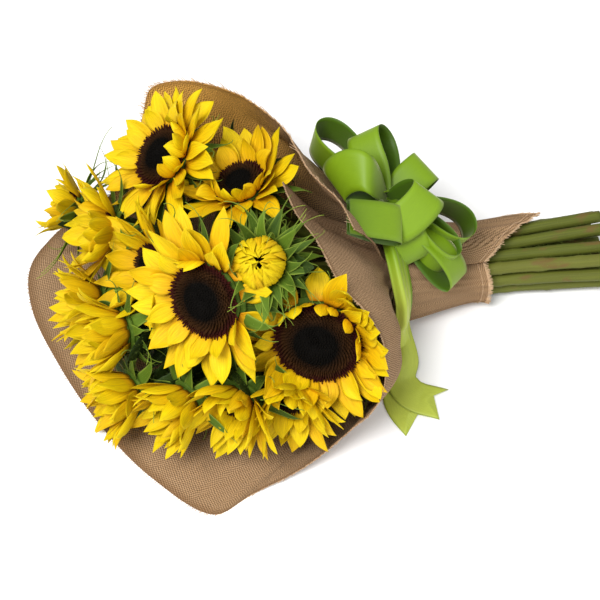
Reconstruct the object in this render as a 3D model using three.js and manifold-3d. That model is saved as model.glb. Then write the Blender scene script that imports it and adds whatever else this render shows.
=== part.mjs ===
// A bunch of sunflowers lying on its side, rolled in a sheet of burlap and tied with a ribbon bow.
// Units are millimetres and +Z is up. The heads face -X and the cut stems run out along +X.
// Places are measured from the point on the table under the ribbon band, and the finished
// bunch is then moved so that the origin is the bottom centre of its bounding box.
import * as THREE from "three";
import { mergeVertices } from "three/addons/utils/BufferGeometryUtils.js";
import Module from "manifold-3d";

const wasm = await Module();
wasm.setup();

const TURN = 2 * Math.PI;
const DEGREE = Math.PI / 180;

// Stems
const STEM_RADIUS = 6.3;
const STEM_SIDES = 5;
const STEM_STEPS = 6;
const STEM_PITCH = 13.1;
const WAIST_X = 74;
const LOWEST_STEM_Z = 11.2;
const STEM_SPREAD = 1.26;
const STEM_ASLANT = 16;
const CUT_ENDS_X = [196, 232];
const FAN_SHARES = [0.3, 0.66];
const FAN_POWER = 1.9;
const NECK_BELOW_HEAD = 14;

// Heads, as depths below the plane of the disc's rim
const DISC_UNDERSIDE = 3.3;
const PLATE_TOP = 3.7;
const PLATE_BOTTOM = 7.3;
const RECEPTACLE_TOP = 7.7;
const RECEPTACLE_DEPTH = 17;
const PLATE_OVERHANG = 4;
const PLATE_SIDES = 10;
const RECEPTACLE_SIDES = 8;
const ROOT_OVERHANG = 1.4;
const LARGE_DISC = 25;
const DISC_CROWN = 0.16;
const DISC_SWELL = 0.55;
const FLORET_RELIEF = 1.1;

// Blades
const PETAL_THICK = 1.1;
const BRACT_THICK = 1.2;
const BRACT_SIZE = { long: 30, wide: 13 };
const BUD_BRACT_SIZE = { long: 40, wide: 15 };
const LEAF_THICK = 1.3;
const LEAF_SIZE = { long: 74, wide: 46 };
const LEAF_PLACE = 0.86;
const LEAF_SPACING = 0.05;
const LEAF_TURNS = 8;
const CLEARANCE = 0.35;
const BESIDE_CLEARANCE = 0.1;

// Burlap sheet
const BURLAP_THICK = 1.2;
const SHEET_COLUMNS = 30;
const SHEET_ROWS = 8;
const OVERLAP_LIFT = 4;
const LOOP_SQUARENESS = 0.66;

// The sheet's sections round the bundle: place along it, half width, half height and middle height
const HEM = { x: 88, wide: 45, high: 25.5, middle: 25.5 };
const HEM_CORNER_X = 146;
const WAIST = { x: WAIST_X, wide: 42, high: 24.4, middle: 25 };
const BAND_SECTION = { x: -2, wide: 54, high: 42, middle: 43.7 };
const THROAT = { x: -24, wide: 57, high: 44.5, middle: 46.5 };
const BELLY_SHARE = 0.55;
const BELLY_FORWARD = 0.1;

// Ribbon
const RIBBON_WIDE = 33;
const RIBBON_THICK = 1;
const LOOP_STEPS = 8;
const FULL_WIDTH_AT = 0.26;
const LOOP_BREADTH = 0.77;
const LOOP_ENDS_APART = 2;
const CONE_SEAT = 0.6;
const TAIL_STEPS = 11;
const TAIL_NOTCH = -14;
const TAIL_GATHER = 0.4;
const BAND_X = -14;
const BAND_WIDE = 16;
const BAND_SIDES = 22;
const BAND_GAP = 0.5;
const KNOT = [-9.1, 28.1, 103.9];
const KNOT_RADIUS = 9;
const BOW_OUT = [-0.139, -0.557, 0.819];
const LIFT_STEP = 0.4;
const TIP_STEP = 3;
const MOST_LIFT = 60;
const ARCH_STEP = 8;
const MOST_ARCH = 48;

const PETAL = [
  { at: 0, wide: 0.5 },
  { at: 0.4, wide: 1 },
  { at: 0.76, wide: 0.72 },
];
const SMALL_PETAL = [
  { at: 0, wide: 0.5 },
  { at: 0.52, wide: 1 },
];
const BRACT = [
  { at: 0, wide: 1 },
  { at: 0.35, wide: 0.85 },
  { at: 0.66, wide: 0.3 },
];
const SMALL_BRACT = [
  { at: 0, wide: 1 },
  { at: 0.5, wide: 0.62 },
];
const LEAF = [
  { at: 0, wide: 0.1 },
  { at: 0.18, wide: 0.8 },
  { at: 0.27, wide: 1 },
  { at: 0.44, wide: 0.72 },
  { at: 0.54, wide: 0.8 },
  { at: 0.8, wide: 0.3 },
];

// Every bloom: where its disc is, where it faces, its disc radius, its petals and its slot in
// the bundle of stems, counted across from the middle and up from the lowest row.
const BLOOMS = [
  { name: "front", centre: [-110, -111, 113], facing: [-0.42, -0.8, 0.43], disc: 34, petals: 22, length: 46,
    wide: 18, open: 2, bend: 6, bracts: 7, leaves: 1, slot: [-1.75, 2], seed: 11 },
  { name: "centre", centre: [-194, -71, 148], facing: [-0.66, -0.57, 0.49], disc: 31, petals: 20, length: 47,
    wide: 18, open: 6, bend: 4, bracts: 6, leaves: 1, slot: [-1.05, 1], seed: 23 },
  { name: "left_back", centre: [-200, 90, 150], facing: [-0.62, -0.02, 0.78], disc: 28, petals: 18, length: 45,
    wide: 17, open: 8, bend: 4, bracts: 6, leaves: 1, slot: [1.5, 1.85], seed: 37 },
  { name: "back", centre: [-140, 43, 150], facing: [-0.3, 0.12, 0.94], disc: 22, petals: 13, length: 44,
    wide: 17, open: 22, bend: 4, bracts: 6, leaves: 0, slot: [0.4, 1.85], seed: 41 },
  { name: "bud", centre: [-146, -61, 160], facing: [-0.2, -0.48, 0.85], disc: 15, petals: 12, length: 37,
    wide: 13, open: 72, bend: 92, bracts: 12, leaves: 0, slot: [-0.7, 2], seed: 53 },
  { name: "far_left", centre: [-290, 124, 66], facing: [-0.88, 0.34, 0.3], disc: 14, petals: 10, length: 35,
    wide: 13, open: 42, bend: 10, bracts: 6, leaves: 1, slot: [2, 0], seed: 61 },
  { name: "left_high", centre: [-262, 62, 98], facing: [-0.95, 0.06, 0.3], disc: 19, petals: 10, length: 46,
    wide: 17, open: 34, bend: 6, bracts: 4, leaves: 2, slot: [2.1, 1], seed: 71 },
  { name: "left_inner", centre: [-232, 0, 112], facing: [-0.86, -0.08, 0.5], disc: 20, petals: 10, length: 50,
    wide: 17, open: 24, bend: 6, bracts: 4, leaves: 2, slot: [1.05, 1], seed: 83 },
  { name: "left_outer", centre: [-286, 12, 62], facing: [-0.96, 0.04, 0.25], disc: 16, petals: 10, length: 42,
    wide: 16, open: 40, bend: 8, bracts: 4, leaves: 1, slot: [1, 0], seed: 89 },
  { name: "left_low", centre: [-270, -40, 84], facing: [-0.94, -0.24, 0.24], disc: 17, petals: 10, length: 44,
    wide: 16, open: 40, bend: 6, bracts: 4, leaves: 1, slot: [0, 1], seed: 97 },
  { name: "low_left", centre: [-272, -78, 44], facing: [-0.92, -0.38, 0.12], disc: 16, petals: 10, length: 40,
    wide: 16, open: 46, bend: 8, bracts: 4, leaves: 1, slot: [0, 0], seed: 101 },
  { name: "low_middle", centre: [-228, -108, 56], facing: [-0.84, -0.54, 0.1], disc: 16, petals: 10, length: 40,
    wide: 16, open: 48, bend: 8, bracts: 4, leaves: 2, slot: [-1, 0], seed: 113 },
  { name: "low_right", centre: [-182, -124, 64], facing: [-0.62, -0.78, 0.06], disc: 17, petals: 10, length: 42,
    wide: 16, open: 38, bend: 8, bracts: 4, leaves: 2, slot: [-2, 0], seed: 127 },
  { name: "low_front", centre: [-138, -130, 63], facing: [-0.36, -0.93, 0.06], disc: 17, petals: 10, length: 42,
    wide: 16, open: 32, bend: 8, bracts: 4, leaves: 1, slot: [-2.1, 1], seed: 131 },
];

// The sheet's free edge round the mouth, from its inner corner on top, down the near side, along
// the lip on the table, up the far side and over its own start. The first number is the angle
// round the bundle, in degrees from the top towards the near side.
const MOUTH = [
  [-8, -107, 12, 177],
  [12, -105, -27, 180],
  [24, -96, -58, 178],
  [38, -87, -92, 170],
  [50, -74, -118, 163],
  [62, -64, -136, 143],
  [74, -63, -149, 121],
  [86, -71, -163, 86],
  [97, -93, -162, 46],
  [107, -136, -170, 10],
  [115, -184, -178, 1],
  [124, -219, -188, 0],
  [138, -264, -142, 0],
  [155, -299, -82, 0],
  [176, -328, -8, 0],
  [200, -346, 66, 1],
  [214, -340, 112, 3],
  [230, -301, 152, 7],
  [246, -265, 150, 28],
  [264, -232, 156, 66],
  [282, -206, 186, 104],
  [289, -194, 200, 124],
  [295, -170, 189, 140],
  [304, -140, 163, 152],
  [319, -110, 115, 167],
  [336, -92, 62, 180],
  [347, -90, 31, 187],
  [358, -85, 5, 188],
  [370, -68, -22, 181],
  [380, -60, -42, 164],
];

// Ribbon loops: the far end of each loop, the way the ribbon's width runs there, how far its two
// strands part, how much wider it is along one edge than along the other, its width at the knot
// as a share of the ribbon's, and where it starts from the knot.
const LOOPS = [
  { tip: [-48, 112, 121], across: [0.29, -0.39, 0.87], open: 36, cone: 0, gather: 0.3, root: [0, 0, 0] },
  { tip: [-8, 93, 127], across: [0.72, -0.58, 0.38], open: 34, cone: 0, gather: 0.3, root: [0, 0, 0] },
  { tip: [36, 56, 104], across: [0.45, -0.82, -0.36], open: 30, cone: 0, gather: 0.3, root: [0, 0, 0] },
  { tip: [38, -47, 63], across: [-0.68, -0.69, 0.25], open: 20, cone: 0, gather: 0.3, root: [0, 0, 0] },
  { tip: [61, -8, 77], across: [0.04, -0.23, 0.97], open: 32, cone: 0, gather: 0.3, root: [0, 0, 0] },
  { tip: [35, -34, 77], across: [0.21, 0.02, 0.98], open: 26, cone: 0, gather: 0.3, root: [0, 0, 0] },
  { tip: [3, -30, 86], across: [0.97, -0.09, 0.23], open: 20, cone: 0, gather: 0.3, root: [0, 0, 0] },
  { tip: [-54, 44, 134], across: [-0.55, -0.80, 0.25], open: 40, cone: -0.6, gather: 0.3, root: [0, 0, 0] },
  { tip: [5, 2, 135], across: [-0.51, 0.51, 0.69], open: 46, cone: -0.25, gather: 0.3, root: [0, 0, 0] },
  { tip: [-3, -18, 125], across: [-0.11, -0.87, -0.49], open: 14, cone: 0, gather: 0.9, root: [-30, -49, 47] },
];

const colours = {
  petal: new THREE.MeshStandardMaterial({ color: 0xf2c400, roughness: 0.6, metalness: 0 }),
  disc: new THREE.MeshStandardMaterial({ color: 0x2a1510, roughness: 0.9, metalness: 0 }),
  green: new THREE.MeshStandardMaterial({ color: 0x3f6b25, roughness: 0.65, metalness: 0 }),
  burlap: new THREE.MeshStandardMaterial({ color: 0xa98360, roughness: 0.95, metalness: 0 }),
  ribbon: new THREE.MeshStandardMaterial({ color: 0x7fae22, roughness: 0.45, metalness: 0 }),
};

// Small helpers

function vector(list) {
  return new THREE.Vector3(list[0], list[1], list[2]);
}

function draws(seed) {
  let state = seed;
  return function draw(low, high) {
    state = (Math.imul(state, 1664525) + 1013904223) >>> 0;
    return low + ((high - low) * state) / 4294967296;
  };
}

function mix(a, b, share) {
  return a + (b - a) * share;
}

function ease(from, to, value) {
  const share = Math.min(Math.max((value - from) / (to - from), 0), 1);
  return share * share * (3 - 2 * share);
}

function step(from, direction, distance) {
  return from.clone().addScaledVector(direction, distance);
}

// Solids

function signedVolume(points, faces) {
  let sum = 0;
  for (const [a, b, c] of faces) {
    sum += points[a].dot(points[b].clone().cross(points[c])) / 6;
  }
  return sum;
}

function solidOfFaces(points, faces) {
  const outward = signedVolume(points, faces) > 0;
  const triVerts = new Uint32Array(faces.flatMap(([a, b, c]) => (outward ? [a, b, c] : [a, c, b])));
  const vertProperties = new Float32Array(points.flatMap((point) => [point.x, point.y, point.z]));
  return new wasm.Manifold(new wasm.Mesh({ numProp: 3, vertProperties, triVerts }));
}

function solidOfGeometry(geometry) {
  const bare = geometry.clone();
  bare.deleteAttribute("normal");
  bare.deleteAttribute("uv");
  const merged = mergeVertices(bare, 1e-4);
  const vertProperties = merged.attributes.position.array;
  const triVerts = Uint32Array.from(merged.index.array);
  return new wasm.Manifold(new wasm.Mesh({ numProp: 3, vertProperties, triVerts }));
}

function geometryOfSolid(solid) {
  const mesh = solid.getMesh();
  const geometry = new THREE.BufferGeometry();
  geometry.setAttribute("position", new THREE.BufferAttribute(mesh.vertProperties, 3));
  geometry.setIndex(new THREE.BufferAttribute(mesh.triVerts, 1));
  geometry.computeVertexNormals();
  return geometry;
}

// Joining leaves out any loose scrap and fills any hollow that it seals.
function fused(solids) {
  let whole = solids[0];
  for (const solid of solids.slice(1)) {
    whole = whole.add(solid);
  }
  const pieces = whole.decompose();
  pieces.sort((a, b) => b.volume() - a.volume());
  return pieces[0];
}

function boxesMeet(a, b) {
  return [0, 1, 2].every((axis) => a.min[axis] < b.max[axis] && b.min[axis] < a.max[axis]);
}

function isClear(solid, obstacles) {
  const box = solid.boundingBox();
  for (const obstacle of obstacles) {
    if (boxesMeet(box, obstacle.box) && !solid.intersect(obstacle.solid).isEmpty()) {
      return false;
    }
  }
  return true;
}

function obstacle(solid) {
  return { solid, box: solid.boundingBox() };
}

// A blade is a thin leaf or petal: thickest along its middle, sharp at its edges and its tip.
// It leaves its root along one direction and bends towards its front face as it goes.
function blade(spec, grow = 0, skipped = 0) {
  const { root, along, front, length, wide, thick, stations, pitch, bend, cup, twist = 0 } = spec;
  const side = along.clone().cross(front).normalize();
  const points = [];
  const faces = [];
  const centre = root.clone();
  let previous = 0;
  stations.concat({ at: 1, wide: 0 }).forEach((station, index) => {
    const lean = (pitch + bend * station.at) * DEGREE;
    const travel = (station.at - previous) * (length + grow);
    const middle = (pitch + (bend * (station.at + previous)) / 2) * DEGREE;
    centre.addScaledVector(along, travel * Math.cos(middle)).addScaledVector(front, travel * Math.sin(middle));
    previous = station.at;
    const tangent = along.clone().multiplyScalar(Math.cos(lean)).addScaledVector(front, Math.sin(lean));
    const turn = new THREE.Quaternion().setFromAxisAngle(tangent, twist * station.at * DEGREE);
    const across = side.clone().applyQuaternion(turn);
    const normal = across.clone().cross(tangent);
    const half = (station.wide * wide) / 2 + (station.wide > 0 ? grow : 0);
    if (index < skipped) {
      return;
    }
    if (half <= 0) {
      points.push(centre.clone());
      return;
    }
    const raise = cup * station.wide * wide;
    const deep = (thick / 2 + grow) * (index === 0 ? 1 : 0.9);
    points.push(step(step(centre, across, -half), normal, raise));
    points.push(step(centre, normal, deep));
    points.push(step(step(centre, across, half), normal, raise));
    points.push(step(centre, normal, -deep));
  });
  const tip = points.length - 1;
  const last = stations.length - 1 - skipped;
  for (let ring = 0; ring < last; ring += 1) {
    for (let corner = 0; corner < 4; corner += 1) {
      const a = ring * 4 + corner;
      const b = ring * 4 + ((corner + 1) % 4);
      faces.push(corner % 2 ? [a, b, b + 4] : [a, b, a + 4]);
      faces.push(corner % 2 ? [a, b + 4, a + 4] : [b, b + 4, a + 4]);
    }
  }
  for (let corner = 0; corner < 4; corner += 1) {
    faces.push([last * 4 + corner, last * 4 + ((corner + 1) % 4), tip]);
  }
  faces.push([0, 3, 1], [1, 3, 2]);
  return solidOfFaces(points, faces);
}

// A blade that would touch a neighbour is tried again with a little more lean, as petals in a
// full bunch push each other upright, and is left out only when no lean clears it. Past its root
// it also keeps off the blades beside it on its own head, if some lean allows that.
function clearBlade(spec, leans, obstacles, beside) {
  let spare = null;
  for (const { pitch, bend, scale } of leans) {
    const tried = {
      ...spec,
      pitch: spec.pitch + pitch,
      bend: spec.bend + bend,
      length: spec.length * scale,
      wide: spec.wide * Math.min(1, scale + 0.1),
    };
    if (isClear(blade(tried, CLEARANCE), obstacles)) {
      if (isClear(blade(tried, BESIDE_CLEARANCE, 1), beside)) {
        return blade(tried);
      }
      spare = spare ?? tried;
    }
  }
  return spare ? blade(spare) : null;
}

function leansOf(pitches, bends, scales) {
  return scales.flatMap((scale) => pitches.flatMap((pitch) => bends.map((bend) => ({ pitch, bend, scale }))));
}

const PETAL_LEANS = leansOf([0, 9, -9, 18, 28, 38, 50, 62, 74, -18], [0, 24, -20], [1, 0.86, 0.7]);
const BRACT_LEANS = leansOf([0, -12, 12, -26, 24, -42, -60], [0, 40, -50], [1, 0.75]);
const LEAF_LEANS = leansOf([0, 14, -14, 28, -28, 44, 60], [0, 30, -30], [1, 0.8, 0.6]);

// Heads

function headFrame(bloom) {
  const facing = vector(bloom.facing).normalize();
  const right = new THREE.Vector3(0, 0, 1).cross(facing).normalize();
  const up = facing.clone().cross(right);
  return { centre: vector(bloom.centre), facing, right, up };
}

function placed(geometry, frame) {
  const basis = new THREE.Matrix4().makeBasis(frame.right, frame.up, frame.facing);
  return geometry.applyMatrix4(basis.setPosition(frame.centre));
}

function radial(frame, angle) {
  return frame.right.clone().multiplyScalar(Math.cos(angle)).addScaledVector(frame.up, Math.sin(angle));
}

// The disc's florets are relief: the points of a staggered round net stand high and low by turns,
// which draws the crossing spirals. The rim is toothed and the middle is a little sunken.
function discSolid(bloom, frame) {
  const [rings, sectors] = bloom.disc > LARGE_DISC ? [6, 22] : [2, 10];
  const crown = bloom.disc * DISC_CROWN;
  const points = [step(frame.centre, frame.facing, crown * DISC_SWELL)];
  for (let ring = 1; ring <= rings; ring += 1) {
    const share = ring / rings;
    for (let sector = 0; sector < sectors; sector += 1) {
      const high = (sector + Math.floor(ring / 2)) % 2 === 0;
      const angle = (TURN * (sector + (ring % 2) / 2)) / sectors;
      const reach = bloom.disc * share * (ring === rings && high ? 0.96 : 1);
      const swell = Math.cos((Math.PI / 2) * share) + DISC_SWELL * (1 - share);
      const height = crown * swell + (high ? FLORET_RELIEF : 0);
      points.push(step(step(frame.centre, radial(frame, angle), reach), frame.facing, height));
    }
  }
  const rim = points.length - sectors;
  for (let sector = 0; sector < sectors; sector += 1) {
    const angle = (TURN * (sector + (rings % 2) / 2)) / sectors;
    const under = step(frame.centre, radial(frame, angle), bloom.disc * 0.94);
    points.push(step(under, frame.facing, -DISC_UNDERSIDE));
  }
  const bottom = points.length;
  points.push(step(frame.centre, frame.facing, -DISC_UNDERSIDE));
  const faces = [];
  for (let sector = 0; sector < sectors; sector += 1) {
    const next = (sector + 1) % sectors;
    faces.push([0, 1 + sector, 1 + next]);
    for (let ring = 1; ring < rings; ring += 1) {
      const inner = 1 + (ring - 1) * sectors;
      const outer = inner + sectors;
      faces.push([inner + sector, outer + sector, outer + next]);
      faces.push([inner + sector, outer + next, inner + next]);
    }
    faces.push([rim + sector, rim + sectors + sector, rim + next]);
    faces.push([rim + next, rim + sectors + sector, rim + sectors + next]);
    faces.push([bottom, rim + sectors + next, rim + sectors + sector]);
  }
  return solidOfFaces(points, faces);
}

// The green cup under the disc, turned on the head's axis.
function receptacleSolid(bloom, frame) {
  const edge = bloom.disc + PLATE_OVERHANG;
  const profile = [
    new THREE.Vector2(0, -RECEPTACLE_TOP),
    new THREE.Vector2(edge - 1, -RECEPTACLE_TOP),
    new THREE.Vector2(edge, -RECEPTACLE_TOP - 2),
    new THREE.Vector2(edge * 0.6, -RECEPTACLE_TOP - RECEPTACLE_DEPTH * 0.6),
    new THREE.Vector2(STEM_RADIUS + 1.5, -RECEPTACLE_TOP - RECEPTACLE_DEPTH),
    new THREE.Vector2(0, -RECEPTACLE_TOP - RECEPTACLE_DEPTH),
  ];
  const cup = new THREE.LatheGeometry(profile.reverse(), RECEPTACLE_SIDES).rotateX(Math.PI / 2);
  return solidOfGeometry(placed(cup, frame));
}

function stemCurve(bloom, frame) {
  const random = draws(bloom.seed);
  const [across, row] = bloom.slot;
  const waist = new THREE.Vector3(WAIST_X, across * STEM_PITCH, LOWEST_STEM_Z + row * STEM_PITCH);
  const end = new THREE.Vector3(
    random(...CUT_ENDS_X),
    waist.y * STEM_SPREAD - STEM_ASLANT + random(-1.8, 1.8),
    (waist.z - LOWEST_STEM_Z) * STEM_SPREAD + LOWEST_STEM_Z + random(-1.5, 1.5),
  );
  const top = step(frame.centre, frame.facing, -RECEPTACLE_TOP - RECEPTACLE_DEPTH * 0.6);
  const below = step(frame.centre, frame.facing, -RECEPTACLE_TOP - RECEPTACLE_DEPTH - NECK_BELOW_HEAD);
  const fan = FAN_SHARES.map((share) => {
    const place = waist.clone().lerp(below, share ** FAN_POWER);
    place.x = mix(waist.x, below.x, share);
    return place;
  });
  return new THREE.CatmullRomCurve3([end, waist, ...fan, below, top]);
}

function stemSolid(curve) {
  const outline = new THREE.Shape();
  for (let side = 0; side < STEM_SIDES; side += 1) {
    const angle = (TURN * side) / STEM_SIDES;
    const place = [STEM_RADIUS * Math.cos(angle), STEM_RADIUS * Math.sin(angle)];
    if (side === 0) {
      outline.moveTo(...place);
    } else {
      outline.lineTo(...place);
    }
  }
  const options = { steps: STEM_STEPS, bevelEnabled: false, extrudePath: curve };
  return solidOfGeometry(new THREE.ExtrudeGeometry(outline, options));
}

// The yellow ring that carries the petals, between the disc and the green cup.
function plateSolid(bloom, frame) {
  const edge = bloom.disc + PLATE_OVERHANG;
  const plate = new THREE.CylinderGeometry(edge, edge - 1, PLATE_BOTTOM - PLATE_TOP, PLATE_SIDES);
  plate.rotateX(Math.PI / 2).translate(0, 0, -(PLATE_BOTTOM + PLATE_TOP) / 2);
  return solidOfGeometry(placed(plate, frame));
}

// Petals in two layers round the disc, the inner layer standing up a little more than the outer.
function petalSolids(bloom, frame, obstacles) {
  const random = draws(bloom.seed + 1);
  const solids = [];
  const beside = [];
  for (let index = 0; index < bloom.petals; index += 1) {
    const inner = index >= bloom.petals / 2;
    const place = 2 * index + (inner ? 1 - bloom.petals : 0);
    const angle = (TURN * (place + random(-0.18, 0.18))) / bloom.petals;
    const along = radial(frame, angle);
    const rise = inner ? -4.5 : -6.5;
    const spec = {
      root: step(step(frame.centre, along, bloom.disc + ROOT_OVERHANG), frame.facing, rise),
      along,
      front: frame.facing,
      length: bloom.length * random(0.86, 1.06) * (inner ? 0.9 : 1),
      wide: bloom.wide * random(0.88, 1.08),
      thick: PETAL_THICK,
      stations: bloom.disc > LARGE_DISC ? PETAL : SMALL_PETAL,
      pitch: bloom.open + (inner ? 17 : 0) + random(-4, 4),
      bend: bloom.bend + random(-14, 14),
      cup: random(0.06, 0.14),
      twist: random(-10, 10),
    };
    const petal = clearBlade(spec, PETAL_LEANS, obstacles, beside);
    if (petal) {
      solids.push(petal);
      beside.push(obstacle(petal));
    }
  }
  return solids;
}

// Pointed bracts behind the petals, with their thin tips curled.
function bractSolids(bloom, frame, obstacles) {
  const random = draws(bloom.seed + 2);
  const solids = [];
  const closed = bloom.name === "bud";
  const size = closed ? BUD_BRACT_SIZE : BRACT_SIZE;
  const beside = [];
  for (let index = 0; index < bloom.bracts; index += 1) {
    const angle = (TURN * (index + random(-0.2, 0.2))) / bloom.bracts;
    const along = radial(frame, angle);
    const outer = index % 2;
    const spec = {
      root: step(step(frame.centre, along, bloom.disc + (outer ? 0 : 1)), frame.facing, outer ? -11 : -9.4),
      along,
      front: frame.facing,
      length: size.long * random(0.85, 1.15),
      wide: size.wide * random(0.9, 1.1),
      thick: BRACT_THICK,
      stations: closed ? BRACT : SMALL_BRACT,
      pitch: (closed ? 26 : -14) + (outer ? -24 : 0) + random(-8, 8),
      bend: (closed ? -50 : 10) + random(-40, 40),
      cup: 0.1,
      twist: random(-30, 30),
    };
    const bract = clearBlade(spec, BRACT_LEANS, obstacles, beside);
    if (bract) {
      solids.push(bract);
      beside.push(obstacle(bract));
    }
  }
  return solids;
}

// Toothed leaves on the stem below the head.
function leafSolids(bloom, frame, curve, obstacles, beside) {
  const random = draws(bloom.seed + 3);
  const solids = [];
  for (let index = 0; index < bloom.leaves; index += 1) {
    const place = LEAF_PLACE - LEAF_SPACING * index;
    const root = curve.getPointAt(place);
    const tangent = curve.getTangentAt(place);
    for (let turn = 0; turn < LEAF_TURNS; turn += 1) {
      const angle = TURN * (turn / LEAF_TURNS) + random(0, 0.4) + index * 2.6;
      const outwards = radial(frame, angle);
      const along = outwards.clone().addScaledVector(tangent, -outwards.dot(tangent)).normalize();
      const spec = {
        root,
        along,
        front: tangent,
        length: LEAF_SIZE.long * random(0.85, 1.1),
        wide: LEAF_SIZE.wide * random(0.85, 1.1),
        thick: LEAF_THICK,
        stations: LEAF,
        pitch: 46,
        bend: -10,
        cup: 0.08,
        twist: random(-20, 20),
      };
      const leaf = clearBlade(spec, LEAF_LEANS, obstacles, beside);
      if (leaf) {
        solids.push(leaf);
        break;
      }
    }
  }
  return solids;
}

// Burlap sheet

function loopPoint(angle, { x, wide, high, middle }) {
  const turn = angle * DEGREE;
  const lift = OVERLAP_LIFT * ease(332, 352, angle);
  const y = -Math.sign(Math.sin(turn)) * Math.abs(Math.sin(turn)) ** LOOP_SQUARENESS * (wide + lift);
  const z = middle + Math.sign(Math.cos(turn)) * Math.abs(Math.cos(turn)) ** LOOP_SQUARENESS * (high + lift);
  return new THREE.Vector3(x, y, z);
}

function sheetColumn(angle, mouth) {
  const turn = angle * DEGREE;
  const corner = Math.exp(-(((angle - 318) / 34) ** 2));
  const hem = loopPoint(angle, { ...HEM, x: mix(HEM.x, HEM_CORNER_X, corner) });
  const waist = loopPoint(angle, WAIST);
  const band = loopPoint(angle, BAND_SECTION);
  const nearSide = Math.exp(-(((angle - 62) / 48) ** 2));
  const farSide = Math.exp(-((((angle < 180 ? angle + 360 : angle) - 345) / 40) ** 2));
  const bulge = 6 + 16 * nearSide - 26 * farSide + 9 * ease(332, 352, angle);
  const outward = new THREE.Vector3(0, -Math.sin(turn), Math.cos(turn));
  const throat = loopPoint(angle, THROAT);
  const over = angle < 180 ? ease(104, 62, angle) : ease(300, 340, angle);
  const belly = band.clone().lerp(mouth, BELLY_SHARE).addScaledVector(outward, bulge);
  belly.x += BELLY_FORWARD * over * (mouth.x - band.x);
  belly.z = Math.max(belly.z, 0);
  return new THREE.CatmullRomCurve3([hem, waist, band, throat, belly, mouth], false, "centripetal");
}

function sheetLines() {
  const mouthCurve = new THREE.CatmullRomCurve3(MOUTH.map((row) => vector(row.slice(1))));
  const grid = [];
  for (let column = 0; column <= SHEET_COLUMNS; column += 1) {
    const place = (column / SHEET_COLUMNS) * (MOUTH.length - 1);
    const index = Math.min(Math.floor(place), MOUTH.length - 2);
    const angle = mix(MOUTH[index][0], MOUTH[index + 1][0], place - index);
    const line = sheetColumn(angle, mouthCurve.getPoint(column / SHEET_COLUMNS));
    const places = [];
    for (let row = 0; row <= SHEET_ROWS; row += 1) {
      const point = line.getPointAt(row / SHEET_ROWS);
      point.z = Math.max(point.z, 0);
      places.push(point);
    }
    grid.push(places);
  }
  return grid;
}

// A sheet of even thickness whose outer face is the grid.
function sheetOfGrid(grid, thick) {
  const columns = grid.length;
  const rows = grid[0].length;
  const points = [];
  const inner = [];
  for (let column = 0; column < columns; column += 1) {
    for (let row = 0; row < rows; row += 1) {
      const before = grid[Math.max(column - 1, 0)][row];
      const after = grid[Math.min(column + 1, columns - 1)][row];
      const below = grid[column][Math.max(row - 1, 0)];
      const above = grid[column][Math.min(row + 1, rows - 1)];
      const normal = after.clone().sub(before).cross(above.clone().sub(below)).normalize();
      points.push(grid[column][row]);
      inner.push(step(grid[column][row], normal, thick));
    }
  }
  const shift = points.length;
  points.push(...inner);
  const faces = [];
  const at = (column, row) => column * rows + row;
  for (let column = 0; column < columns - 1; column += 1) {
    for (let row = 0; row < rows - 1; row += 1) {
      const corners = [at(column, row), at(column + 1, row), at(column + 1, row + 1), at(column, row + 1)];
      const [a, b, c, d] = corners;
      faces.push([a, b, c], [a, c, d]);
      faces.push([a + shift, c + shift, b + shift], [a + shift, d + shift, c + shift]);
    }
  }
  const border = [];
  for (let column = 0; column < columns - 1; column += 1) {
    border.push([at(column, 0), at(column + 1, 0)]);
    border.push([at(column + 1, rows - 1), at(column, rows - 1)]);
  }
  for (let row = 0; row < rows - 1; row += 1) {
    border.push([at(0, row + 1), at(0, row)]);
    border.push([at(columns - 1, row), at(columns - 1, row + 1)]);
  }
  for (const [a, b] of border) {
    faces.push([a, a + shift, b + shift], [a, b + shift, b]);
  }
  return solidOfFaces(points, faces);
}

// Ribbon

// How far the sheet reaches in each direction round the bundle, at a few cuts across it. A taut
// ribbon lies on these tangents.
function tangents(lines, cuts) {
  const section = [];
  lines.forEach((line, column) => {
    const beside = lines[column + 1] ?? line;
    for (let row = 0; row < line.length - 1; row += 1) {
      const a = line[row];
      for (const b of [line[row + 1], beside[row], beside[row + 1]]) {
        for (const cut of cuts) {
          const share = (cut - a.x) / (b.x - a.x);
          if (share >= 0 && share <= 1) {
            section.push(a.clone().lerp(b, share));
          }
        }
      }
    }
  });
  const reaches = [];
  for (let side = 0; side < BAND_SIDES; side += 1) {
    const turn = (TURN * side) / BAND_SIDES;
    const outward = new THREE.Vector3(0, -Math.sin(turn), Math.cos(turn));
    reaches.push({ turn, reach: Math.max(...section.map((point) => point.dot(outward))) });
  }
  return reaches;
}

function cornersOfTangents(reaches, x, grow) {
  return reaches.map(({ turn, reach }, side) => {
    const next = reaches[(side + 1) % reaches.length];
    const [r, q] = [reach + grow, next.reach + grow];
    const gap = Math.sin(next.turn - turn);
    const y = (-r * Math.cos(next.turn) + q * Math.cos(turn)) / -gap;
    const z = (r * Math.sin(next.turn) - q * Math.sin(turn)) / gap;
    return new THREE.Vector3(x, y, z);
  });
}

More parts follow.
